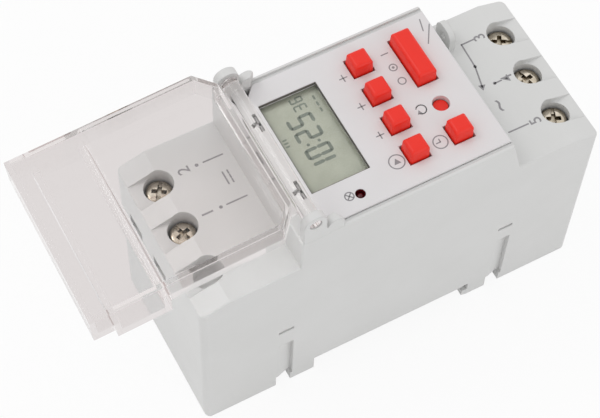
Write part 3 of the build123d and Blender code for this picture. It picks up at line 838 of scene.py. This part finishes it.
@dataclass
class KeyCaps:
    """The red keys: tapered caps with rounded tops, each on its flange and stem."""

    material: Material
    flange_reach: float = 0.7 * MM
    flange: Place = (53.3 * MM, 54.1 * MM)
    flange_soft: float = 0.15 * MM
    stem_radius: float = 1.5 * MM
    stem_overlap: float = 0.1 * MM
    stem_soft: float = 0.1 * MM
    draft: float = 0.2 * MM
    crown: float = 0.7 * MM
    corner: float = 0.3 * MM
    names: tuple[str, ...] = ("minute", "hour", "day", "program", "clock", "manual")

    def _cap(self, low: Vector, high: Vector) -> Piece:
        """Models the cap: a slight taper, a rounded top edge and softer corners.

        Args:
            low: The lowest corner of its block.
            high: The highest corner of its block.

        Returns:
            The cap.
        """
        cap = Bench.block(low, high)
        size = high - low
        middle = (low + high) / 2
        with Bench.pick(cap, Pick.EDGES, lambda ends: min(end.z for end in ends) > middle.z):
            shrink = (1 - 2 * self.draft / size.x, 1 - 2 * self.draft / size.y, 1)
            bpy.ops.transform.resize(value=shrink, center_override=(middle.x, middle.y, high.z))
            bpy.ops.mesh.bevel(offset=self.crown, segments=6, affect="EDGES")
        Bench.soften(cap, self.corner, 4, 25)
        return cap

    def build(self) -> None:
        """Models every key over its solid."""
        for name in self.names:
            low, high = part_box(f"key_{name}")
            bottom, top = self.flange
            inset = Vector((self.flange_reach, self.flange_reach, 0))
            shelf = Bench.block(Vector((low.x, low.y, bottom)), Vector((high.x, high.y, top)))
            Bench.soften(shelf, self.flange_soft)
            cap = self._cap(Vector((low.x, low.y, bottom)) + inset, high - inset)
            middle = (low + high) / 2
            stem_top = bottom + self.stem_overlap
            stem = Bench.add(bpy.ops.mesh.primitive_cylinder_add, vertices=32, radius=self.stem_radius,
                             depth=stem_top - low.z, location=(middle.x, middle.y, (stem_top + low.z) / 2))
            Bench.soften(stem, self.stem_soft)
            key = Bench.join([cap, shelf, stem])
            Bench.finish(key, f"{name}_cap", f"{name}_key", self.material, "key_red", 40)
            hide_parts(f"key_{name}")


@dataclass
class TerminalScrews:
    """The five terminal screws: turned head, cross and slot recess, and thread.

    The crown's points are shares of the head's radius, each with its depth under the top in millimetres. The
    thread's crest and foot are shares of the pitch.
    """

    material: Material
    head_radius: float = 2.65 * MM
    head_top: float = 44.0 * MM
    head_bottom: float = 41.8 * MM
    shaft_radius: float = 1.75 * MM
    root_radius: float = 1.45 * MM
    tip: float = 37.1 * MM
    pitch: float = 0.7 * MM
    crown: tuple[Place, ...] = ((0.0, 0.0), (0.55, 0.02), (0.85, 0.1), (0.95, 0.24), (1.0, 0.55))
    chamfer: float = 0.12 * MM
    neck: float = 0.35 * MM
    point: float = 0.3 * MM
    crest: Place = (0.3, 0.42)
    foot: float = 0.72
    recess_width: float = 1.0 * MM
    recess_reach: float = 1.65 * MM
    recess_depth: float = 0.85 * MM
    recess_taper: float = 0.7
    slot_width: float = 0.7 * MM
    slot_reach: float = 5.83 * MM
    slot_depth: float = 0.45 * MM
    slot_taper: float = 0.9
    cutter_rise: float = 0.5 * MM
    steps: int = 56
    turns: dict[int, float] = field(default_factory=lambda: {1: 18.0, 2: -34.0, 3: 62.0, 4: 12.0, 5: -24.0})

    def _profile(self) -> list[Place]:
        """Gives the turned outline.

        Returns:
            The radius and height of each point, from the head's middle to the tip.
        """
        points = [(share * self.head_radius, self.head_top - depth * MM) for share, depth in self.crown]
        points += [(self.head_radius, self.head_bottom + self.chamfer),
                   (self.head_radius - self.chamfer, self.head_bottom), (self.root_radius, self.head_bottom)]
        height = self.head_bottom - self.neck
        rise, fall = self.crest
        while height > self.tip + self.pitch:
            points += [(self.root_radius, height), (self.shaft_radius, height - rise * self.pitch),
                       (self.shaft_radius, height - fall * self.pitch),
                       (self.root_radius, height - self.foot * self.pitch)]
            height -= self.pitch
        return points + [(self.root_radius, self.tip + self.point), (self.root_radius - self.point, self.tip),
                         (0.0, self.tip)]

    def _turned(self) -> Piece:
        """Spins the outline into the screw's blank.

        Returns:
            The blank on the Z axis.
        """
        blank = Bench.trace([Vector((radius, 0, height)) for radius, height in self._profile()])
        with Bench.edit():
            bpy.ops.mesh.spin(steps=self.steps, angle=math.tau, center=(0, 0, 0), axis=(0, 0, 1))
            bpy.ops.mesh.select_all(action="SELECT")
            bpy.ops.mesh.remove_doubles(threshold=Bench.MERGE)
            Bench.face_out()
        return blank

    def _cut(self, screw: Piece, length: float, width: float, depth: float, taper: float) -> None:
        """Cuts one arm of the recess with a tapered block.

        Args:
            screw: The screw's blank.
            length: The arm's length.
            width: The arm's width.
            depth: The arm's depth.
            taper: How much narrower its floor is.
        """
        half = Vector((length / 2, width / 2, 0))
        low, high = self.head_top - depth, self.head_top + self.cutter_rise
        cutter = Bench.block(Vector((0, 0, low)) - half, Vector((0, 0, high)) + half)
        with Bench.pick(cutter, Pick.FACES, lambda ends: max(end.z for end in ends) < self.head_top):
            bpy.ops.transform.resize(value=(taper, taper, 1))
        Bench.modify(screw, "BOOLEAN", operation="DIFFERENCE", object=cutter, solver="EXACT")
        bpy.data.objects.remove(cutter)

    def build(self) -> None:
        """Models one screw and sets a copy at each terminal."""
        screw = self._turned()
        arm = 2 * self.recess_reach
        self._cut(screw, arm, self.recess_width, self.recess_depth, self.recess_taper)
        self._cut(screw, self.recess_width, arm, self.recess_depth, self.recess_taper)
        self._cut(screw, self.slot_width, self.slot_reach, self.slot_depth, self.slot_taper)
        for number, turn in self.turns.items():
            low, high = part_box(f"terminal_screw_{number}")
            middle = (low + high) / 2
            copy = screw.copy()
            copy.data = screw.data.copy()
            bpy.context.scene.collection.objects.link(copy)
            copy.rotation_euler = (0, 0, math.radians(turn))
            copy.location = (middle.x, middle.y, 0)
            Bench.settle(copy)
            Bench.finish(copy, f"screw_{number}_turned", f"screw_{number}", self.material, "nickel_screw")
            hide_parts(f"terminal_screw_{number}")
        bpy.data.objects.remove(screw)


@dataclass
class Printer:
    """Draws flat printed shapes, a hair thick, on a level surface. Places are in millimetres."""

    level: float
    line: float = 0.32 * MM
    film: float = 0.015 * MM
    rounding: float = 0.46
    digit_share: float = 0.69
    boldness: float = 0.08
    arrow_reach: float = 0.66
    arc_step: float = 20.0
    ring_corners: int = 48
    dot_corners: int = 24

    def stroke(self, start: Place, end: Place, width: float | None = None, roundness: int = 3) -> Piece:
        """Draws a straight line with rounded ends.

        Args:
            start: Its first end.
            end: Its other end.
            width: Its width in metres, or None for the usual one.
            roundness: How many steps each corner is cut in, 1 for a pointed end.

        Returns:
            The line.
        """
        wide = width or self.line
        middle = (Vector(start) + Vector(end)) / 2 * MM
        run = (Vector(end) - Vector(start)) * MM
        shape = Bench.add(bpy.ops.mesh.primitive_plane_add, size=1, location=(*middle, self.level),
                          rotation=(0, 0, math.atan2(run.y, run.x)))
        shape.scale = (run.length + wide, wide, 1)
        Bench.settle(shape)
        with Bench.edit():
            bpy.ops.mesh.bevel(offset=self.rounding * wide, segments=roundness, affect="VERTICES")
        return shape

    def arc(self, middle: Place, radius: float, start: float, end: float) -> list[Piece]:
        """Draws part of a ring.

        Args:
            middle: Its middle.
            radius: Its radius, in millimetres.
            start: The angle where it starts, in degrees.
            end: The angle where it ends, in degrees.

        Returns:
            Its strokes.
        """
        count = round(abs(end - start) / self.arc_step)
        angles = [math.radians(start + (end - start) * step / count) for step in range(count + 1)]
        points = [(middle[0] + radius * math.cos(angle), middle[1] + radius * math.sin(angle))
                  for angle in angles]
        return [self.stroke(one, two) for one, two in zip(points, points[1:])]

    def _disc(self, middle: Place, radius: float, corners: int, turn: float = 0.0) -> Piece:
        """Draws a filled shape whose even corners reach a radius in metres."""
        return Bench.add(bpy.ops.mesh.primitive_circle_add, vertices=corners, radius=radius, fill_type="NGON",
                         location=(middle[0] * MM, middle[1] * MM, self.level), rotation=(0, 0, turn))

    def ring(self, middle: Place, radius: float) -> Piece:
        """Draws a ring.

        Args:
            middle: Its middle.
            radius: Its radius, in millimetres.

        Returns:
            The ring.
        """
        shape = self._disc(middle, radius * MM + self.line / 2, self.ring_corners)
        with Bench.edit(Pick.FACES):
            bpy.ops.mesh.inset(thickness=self.line)
            bpy.ops.mesh.delete(type="FACE")
        return shape

    def dot(self, middle: Place, radius: float) -> Piece:
        """Draws a filled dot with a radius in millimetres."""
        return self._disc(middle, radius * MM, self.dot_corners)

    def wedge(self, tip: Place, towards: float, size: float) -> Piece:
        """Draws a filled arrow head.

        Args:
            tip: Its tip.
            towards: The direction that it points in, in degrees.
            size: Its length, in millimetres.

        Returns:
            The arrow head.
        """
        turn = math.radians(towards)
        reach = self.arrow_reach * size
        middle = (tip[0] - math.cos(turn) * reach, tip[1] - math.sin(turn) * reach)
        return self._disc(middle, reach * MM, 3, turn - math.pi / 2)

    def number(self, text: str, middle: Place, height: float) -> Piece:
        """Draws a plain number or sign that reads along +Y.

        Args:
            text: The digits, or one sign.
            middle: Its middle.
            height: The height of its digits, in millimetres.

        Returns:
            The number as a flat mesh.
        """
        shape = Bench.add(bpy.ops.object.text_add, location=(middle[0] * MM, middle[1] * MM, self.level),
                          rotation=(0, 0, math.pi / 2))
        settings = {"body": text, "size": height * MM / self.digit_share, "align_x": "CENTER",
                    "align_y": "CENTER", "resolution_u": 4, "offset": self.boldness * self.line,
                    "fill_mode": "BOTH"}
        for name, value in settings.items():
            setattr(shape.data, name, value)
        bpy.ops.object.convert(target="MESH")
        return bpy.context.view_layer.objects.active

    def bar(self, middle: Place, length: float, width: float, along_x: bool) -> Piece:
        """Draws one segment of a digit: a bar with pointed ends.

        Args:
            middle: Its middle.
            length: Its length, in millimetres.
            width: Its width, in millimetres.
            along_x: Whether it lies along X, and not along Y.

        Returns:
            The segment.
        """
        reach = (length - width) / 2
        x, y = (reach, 0.0) if along_x else (0.0, reach)
        start, end = (middle[0] - x, middle[1] - y), (middle[0] + x, middle[1] + y)
        return self.stroke(start, end, width * MM, roundness=1)

    def print(self, shapes: list[Piece], name: str, material: Material, slot: str) -> None:
        """Joins the shapes, gives them the film's thickness and sets them on the casing.

        Args:
            shapes: The flat shapes.
            name: The printed piece's name.
            material: Its ink.
            slot: The record's material slot of the surface that it lies on.
        """
        joined = Bench.join(shapes)
        Bench.modify(joined, "SOLIDIFY", thickness=self.film, offset=1.0)
        Bench.finish(joined, name, Body.CASING, material, slot, 20)


@dataclass
class Marks:
    """Plain printed signs on a level surface. Their sizes are in millimetres, apart from level and line."""

    ink: Material
    name: str
    slot: str
    level: float
    line: float
    numbers: tuple[tuple[str, Place, float], ...] = ()
    pluses: tuple[Place, ...] = ()
    plus_size: float = 0.75
    strokes: tuple[Stroke, ...] = ()
    rings: tuple[Round, ...] = ()
    dots: tuple[Round, ...] = ()
    wedges: tuple[Arrow, ...] = ()
    arcs: tuple[tuple[Place, float, float, float], ...] = ()

    def build(self) -> None:
        """Prints the signs."""
        printer = Printer(self.level, self.line)
        shapes = []
        for x, y in self.pluses:
            for along, across in ((self.plus_size, 0), (0, self.plus_size)):
                shapes.append(printer.stroke((x - along, y - across), (x + along, y + across)))
        for draw, signs in ((printer.number, self.numbers), (printer.stroke, self.strokes),
                            (printer.ring, self.rings), (printer.dot, self.dots),
                            (printer.wedge, self.wedges)):
            shapes += [draw(*sign) for sign in signs]
        for arc in self.arcs:
            shapes += printer.arc(*arc)
        printer.print(shapes, self.name, self.ink, self.slot)


@dataclass
class PlatformMarks(Marks):
    """The terminals' numbers and the lines beside them, on both platforms."""

    name: str = "platform_marks"
    slot: str = "casing_grey"
    level: float = 47.0 * MM
    line: float = 0.32 * MM
    numbers: tuple[tuple[str, Place, float], ...] = (
        ("1", (-32.2, 0.3), 2.3), ("2", (-32.1, 10.55), 2.3), ("3", (33.3, 11.3), 2.3),
        ("4", (33.2, 0.5), 2.3), ("5", (32.9, -10.4), 2.3), ("~", (28.3, -4.3), 3.4))
    strokes: tuple[Stroke, ...] = (
        ((-28.1, 10.5), (-24.1, 10.45)), ((-28.3, 0.3), (-24.1, 0.3)), ((29.15, 11.3), (31.9, 11.35)),
        ((30.3, 0.55), (31.8, 0.55)), ((26.9, -10.35), (31.2, -10.4)), ((29.15, 11.3), (28.9, 5.65)),
        ((28.9, 5.65), (27.7, 0.9)), ((-25.9, 4.1), (-25.9, 6.9)), ((-24.9, 4.1), (-24.9, 4.8)),
        ((-24.9, 5.15), (-24.9, 5.85)), ((-24.9, 6.2), (-24.9, 6.9)))
    dots: tuple[Round, ...] = (((-29.5, 10.5), 0.36), ((-29.55, 0.3), 0.36), ((28.9, 5.65), 0.36),
                               ((30.3, 0.55), 0.36))
    wedges: tuple[Arrow, ...] = (((27.5, 0.1), -104, 1.3),)


@dataclass
class PanelMarks(Marks):
    """The small generic signs beside the keys and the lamp."""

    name: str = "panel_marks"
    slot: str = "panel_white"
    level: float = 56.3 * MM
    line: float = 0.24 * MM
    pluses: tuple[Place, ...] = ((1.3, 9.9), (1.3, 2.8), (1.3, -4.3))
    strokes: tuple[Stroke, ...] = (
        ((9.65, -10.7), (10.5, -10.7)), ((10.5, -10.7), (10.5, -10.05)), ((-10.6, -13.6), (-9.6, -12.6)),
        ((-10.6, -12.6), (-9.6, -13.6)), ((10.2, 11.1), (11.6, 11.1)), ((20.9, 15.0), (20.2, 12.4)),
        ((22.0, 13.2), (19.6, 9.4)))
    rings: tuple[Round, ...] = (((1.2, -10.7), 1.5), ((10.5, -10.7), 1.4), ((-10.1, -13.1), 0.85),
                                ((10.9, 7.7), 0.75), ((10.9, 4.3), 0.75))
    dots: tuple[Round, ...] = (((10.9, 7.7), 0.28),)
    wedges: tuple[Arrow, ...] = (((1.2, -9.95), 90, 1.25), ((9.75, -3.65), 205, 0.9))
    arcs: tuple[tuple[Place, float, float, float], ...] = (((10.9, -2.9), 1.0, 150, -130),)


@dataclass
class DisplayDigits:
    """The dark segments of the display: the time in large digits and a few small signs.

    A bar's thickness is a share of its digit's height, and the gap at its ends a share of its thickness.
    """

    ink: Material
    level: float = 54.5 * MM
    film: float = 0.012 * MM
    large_size: Place = (2.5, 5.4)
    small_size: Place = (1.35, 2.7)
    thickness: float = 0.13
    gap: float = 0.35
    large: tuple[tuple[str, Place], ...] = (("1", (-12.5, -5.6)), ("0", (-12.5, -2.4)), ("2", (-12.5, 1.6)),
                                            ("5", (-12.5, 4.8)))
    small: tuple[tuple[str, Place], ...] = (("3", (-9.8, 8.1)), ("6", (-9.8, 9.9)))
    colon: tuple[Round, ...] = (((-11.0, 0.85), 0.32), ((-8.7, 0.85), 0.32))
    low_dashes: tuple[Place, float, Place] = ((-5.1, 6.6), 1.5, (1.1, 0.42))
    side_dashes: tuple[Place, float, Place] = ((-14.5, 2.2), 0.75, (0.95, 0.36))
    dash_count: int = 3

    SEGMENTS = {"0": "abcdef", "1": "bc", "2": "abged", "3": "abgcd", "5": "afgcd", "6": "afgedc"}

    def _digit(self, printer: Printer, digit: str, corner: Place, size: Place) -> list[Piece]:
        """Draws one digit that reads along +Y, its top towards -X.

        Args:
            printer: What draws it.
            digit: The digit.
            corner: The X of its top and the Y of its left side, in millimetres.
            size: Its width and height, in millimetres.

        Returns:
            Its lit segments.
        """
        top, left = corner
        width, height = size
        thick = self.thickness * height
        half = height / 2
        across = width - self.gap * thick
        up = half - self.gap * thick
        centre = left + width / 2
        inset = thick / 2
        near, far = left + inset, left + width - inset
        upper, lower = top + half / 2 + inset / 2, top + 1.5 * half - inset / 2
        bars = {"a": ((top + inset, centre), across, False), "g": ((top + half, centre), across, False),
                "d": ((top + height - inset, centre), across, False), "f": ((upper, near), up, True),
                "b": ((upper, far), up, True), "e": ((lower, near), up, True), "c": ((lower, far), up, True)}
        lit = [bars[name] for name in self.SEGMENTS[digit]]
        return [printer.bar(middle, length, thick, along_x) for middle, length, along_x in lit]

    def build(self) -> None:
        """Draws the display's contents."""
        printer = Printer(self.level, film=self.film)
        shapes = []
        for digits, size in ((self.large, self.large_size), (self.small, self.small_size)):
            for digit, corner in digits:
                shapes += self._digit(printer, digit, corner, size)
        shapes += [printer.dot(*dot) for dot in self.colon]
        for ((x, y), pitch, size), along_x in ((self.low_dashes, False), (self.side_dashes, True)):
            shapes += [printer.bar((x, y + pitch * step), *size, along_x) for step in range(self.dash_count)]
        printer.print(shapes, "display_digits", self.ink, "display_glass")


@dataclass
class WindowShadeLining:
    """A thin dull dark strip that lines the display window above its lens: painted shade, standing in for the
    shade on the window's walls.
    """

    material: Material
    start: Place = (-15.9 * MM, -9.5 * MM)
    end: Place = (-3.7 * MM, 11.7 * MM)
    wall: float = 0.14 * MM
    bottom: float = 55.62 * MM
    top: float = 56.22 * MM
    soft: float = 0.03 * MM

    def build(self) -> None:
        """Models the lining."""
        start, end = Vector((*self.start, self.bottom)), Vector((*self.end, self.bottom))
        frame = Bench.add(bpy.ops.mesh.primitive_plane_add, size=1, location=(start + end) / 2)
        frame.scale = end - start + Vector((0, 0, 1))
        Bench.settle(frame)
        with Bench.edit(Pick.FACES):
            bpy.ops.mesh.inset(thickness=self.wall)
            bpy.ops.mesh.delete(type="FACE")
            bpy.ops.mesh.select_all(action="SELECT")
            Bench.extrude((0, 0, self.top - self.bottom))
            Bench.face_out()
        Bench.soften(frame, self.soft)
        Bench.finish(frame, "window_shade_lining", Body.CASING, self.material, "black_rubber")


@dataclass
class LampSleeve:
    """The dark sleeve that lines the lamp's hole in the front panel."""

    material: Material
    middle: Place = (-8.0 * MM, -13.5 * MM)
    radius: float = 0.99 * MM
    wall: float = 0.08 * MM
    bottom: float = 54.6 * MM
    top: float = 56.22 * MM
    soft: float = 0.02 * MM

    def build(self) -> None:
        """Models the sleeve."""
        sleeve = Bench.add(bpy.ops.mesh.primitive_cylinder_add, vertices=40, radius=self.radius,
                           depth=self.top - self.bottom, end_fill_type="NOTHING",
                           location=(*self.middle, (self.top + self.bottom) / 2))
        Bench.settle(sleeve)
        Bench.modify(sleeve, "SOLIDIFY", thickness=self.wall, offset=-1)
        Bench.soften(sleeve, self.soft)
        Bench.finish(sleeve, "lamp_sleeve", Body.CASING, self.material, "led_red")


@dataclass
class DeckSnaps:
    """The snap tongues seen in the two T-shaped slots of the deck. Its sizes are in millimetres."""

    material: Material
    middle: Place = (-19.0, 8.1)
    length: float = 4.0
    width: float = 0.76
    stem: float = 0.9
    bottom: float = 53.0
    top: float = 55.1
    soft: float = 0.08

    def build(self) -> None:
        """Models both tongues."""
        x, away = self.middle
        half = self.width / 2
        tongues = []
        for y in (-away, away):
            for low, high in (((x - half, y - self.length / 2), (x + half, y + self.length / 2)),
                              ((x - half, y - half), (x + half + self.stem, y + half))):
                tongue = Bench.block(Vector((*low, self.bottom)) * MM, Vector((*high, self.top)) * MM)
                Bench.soften(tongue, self.soft * MM)
                tongues.append(tongue)
        Bench.finish(Bench.join(tongues), "deck_snaps", Body.CASING, self.material, "casing_grey")


@dataclass
class Dressing:
    """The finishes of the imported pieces."""

    groups: SurfaceGroups = field(default_factory=SurfaceGroups)
    materials: dict[str, Material] = field(default_factory=dict)

    def mix_all(self) -> None:
        """Builds every material of the record's slots."""
        for slot, finish in FINISHES.items():
            self.materials[slot] = finish.build(self.groups)

    def paint(self, frame: dict) -> None:
        """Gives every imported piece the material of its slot.
        """
        for entry in frame["record"]["subparts"]:
            node = frame["nodes"][entry["node"]]
            material = self.materials[entry["material_slot"]]
            if not node.data.materials:
                node.data.materials.append(material)
            for slot in node.material_slots:
                slot.material = material
            log.info("%s wears %s", entry["node"], material.name)


@dataclass
class Studio:
    """The pale floor, the soft light and the camera."""

    azimuth: float = -30.479
    elevation: float = 60.485
    roll: float = 2.606
    offset: Spot = (0.010404, 0.011264, 0.389591)
    focal_pixels: float = 1831.79
    image_width: int = 600
    sensor: float = 36.0
    world_level: float = 0.86
    floor_size: float = 4.0
    floor_level: float = -0.2 * MM
    floor_grey: float = 0.85
    floor_glow: float = 0.9
    through_clear: Screen = (226, 221, 220)
    target: Spot = (0, 0, 0.03)
    lamps: tuple[tuple[str, Spot, float, float], ...] = (("key_lamp", (-0.35, 0.32, 0.72), 0.25, 0.9),
                                                         ("front_lamp", (0.25, -0.8, 0.35), 0.3, 0.5))

    @staticmethod
    def _seen(sketch: Sketch, path: Mapping[str, Socket]) -> Socket:
        """Gives 1 for the camera, glossy and transmission rays, which see plain white, else 0."""
        seen = sketch.maths("MAXIMUM", path["Is Camera Ray"], path["Is Glossy Ray"])
        return sketch.maths("MAXIMUM", seen, path["Is Transmission Ray"])

    def _floor(self) -> None:
        """Lays the pale floor, which keeps a faint shadow."""
        floor = Bench.add(bpy.ops.mesh.primitive_plane_add, size=self.floor_size,
                          location=(0, 0, self.floor_level))
        floor.name = "studio_floor"
        material = bpy.data.materials.new("studio_floor")
        sketch = Sketch.on(material)
        path = sketch.add("ShaderNodeLightPath").outputs
        tone = sketch.mix(path["Is Transmission Ray"], (1.0, 1.0, 1.0), linear(self.through_clear))
        share = sketch.maths("MULTIPLY", self._seen(sketch, path), self.floor_glow)
        matt = sketch.add("ShaderNodeBsdfDiffuse", {"Color": (self.floor_grey,) * 3})
        glow = sketch.add("ShaderNodeEmission", {"Color": tone, "Strength": 1.0})
        surface = sketch.either(share, matt.outputs["BSDF"], glow.outputs["Emission"])
        sketch.add("ShaderNodeOutputMaterial", {"Surface": surface})
        floor.data.materials.append(material)

    def _world(self) -> None:
        """Fills the room with even white light."""
        world = bpy.data.worlds.new("studio")
        bpy.context.scene.world = world
        sketch = Sketch.on(world)
        seen = self._seen(sketch, sketch.add("ShaderNodeLightPath").outputs)
        strength = sketch.remap(seen, self.world_level, 1.0, 0.0, 1.0)
        light = sketch.add("ShaderNodeBackground", {"Color": (1.0, 1.0, 1.0), "Strength": strength})
        sketch.add("ShaderNodeOutputWorld", {"Surface": light.outputs["Background"]})

    def _lamp(self, name: str, place: Spot, size: float, power: float) -> None:
        """Hangs a soft lamp that points at the object.

        Args:
            name: Its name.
            place: Where it hangs, in metres.
            size: The side of its square, in metres.
            power: Its power in watts.
        """
        lamp = Bench.add(bpy.ops.object.light_add, type="AREA", location=place)
        lamp.name = name
        lamp.data.size = size
        lamp.data.energy = power
        aim = Vector(self.target) - Vector(place)
        lamp.rotation_euler = aim.to_track_quat("-Z", "Y").to_euler()

    def _camera(self) -> None:
        """Sets the camera where the photograph's stood."""
        turn, rise, roll = (math.radians(angle) for angle in (self.azimuth, self.elevation, self.roll))
        back = Vector((math.sin(turn) * math.cos(rise), -math.cos(turn) * math.cos(rise), math.sin(rise)))
        level = (-back).cross(Vector((0, 0, 1))).normalized()
        low = (-back).cross(level)
        right = math.cos(roll) * level - math.sin(roll) * low
        down = math.sin(roll) * level + math.cos(roll) * low
        place = -(self.offset[0] * right + self.offset[1] * down - self.offset[2] * back)
        camera = Bench.add(bpy.ops.object.camera_add)
        camera.name = "studio_camera"
        camera.matrix_world = Matrix.Translation(place) @ Matrix((right, -down, back)).transposed().to_4x4()
        camera.data.sensor_width = self.sensor
        camera.data.lens = self.focal_pixels / self.image_width * self.sensor
        camera.data.clip_start = 0.01
        bpy.context.scene.camera = camera

    def build(self) -> None:
        """Sets up the studio."""
        bpy.context.scene.view_settings.view_transform = "Standard"
        self._floor()
        self._world()
        for lamp in self.lamps:
            self._lamp(*lamp)
        self._camera()


def main() -> None:
    """Loads the frame, dresses it and sets up the studio."""
    logging.basicConfig(level=logging.INFO, format="%(name)s: %(message)s")
    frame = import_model()
    dressing = Dressing()
    dressing.mix_all()
    dressing.paint(frame)
    mark_ink, segment_ink, shade_lining = (ink.build(dressing.groups) for ink in (MARK_INK, SEGMENT_INK, WINDOW_SHADE))
    CoverShell(dressing.materials["clear_plastic"]).build(frame["nodes"]["clear_cover"])
    TerminalScrews(dressing.materials["nickel_screw"]).build()
    KeyCaps(dressing.materials["key_red"]).build()
    LeafSpring(dressing.materials["spring_steel"]).build()
    PlatformMarks(mark_ink).build()
    PanelMarks(mark_ink).build()
    WindowShadeLining(shade_lining).build()
    LampSleeve(dressing.materials["led_red"]).build()
    DeckSnaps(dressing.materials["casing_grey"]).build()
    DisplayDigits(segment_ink).build()
    Studio().build()
    Bench.clear()


if __name__ == "__main__":
    main()
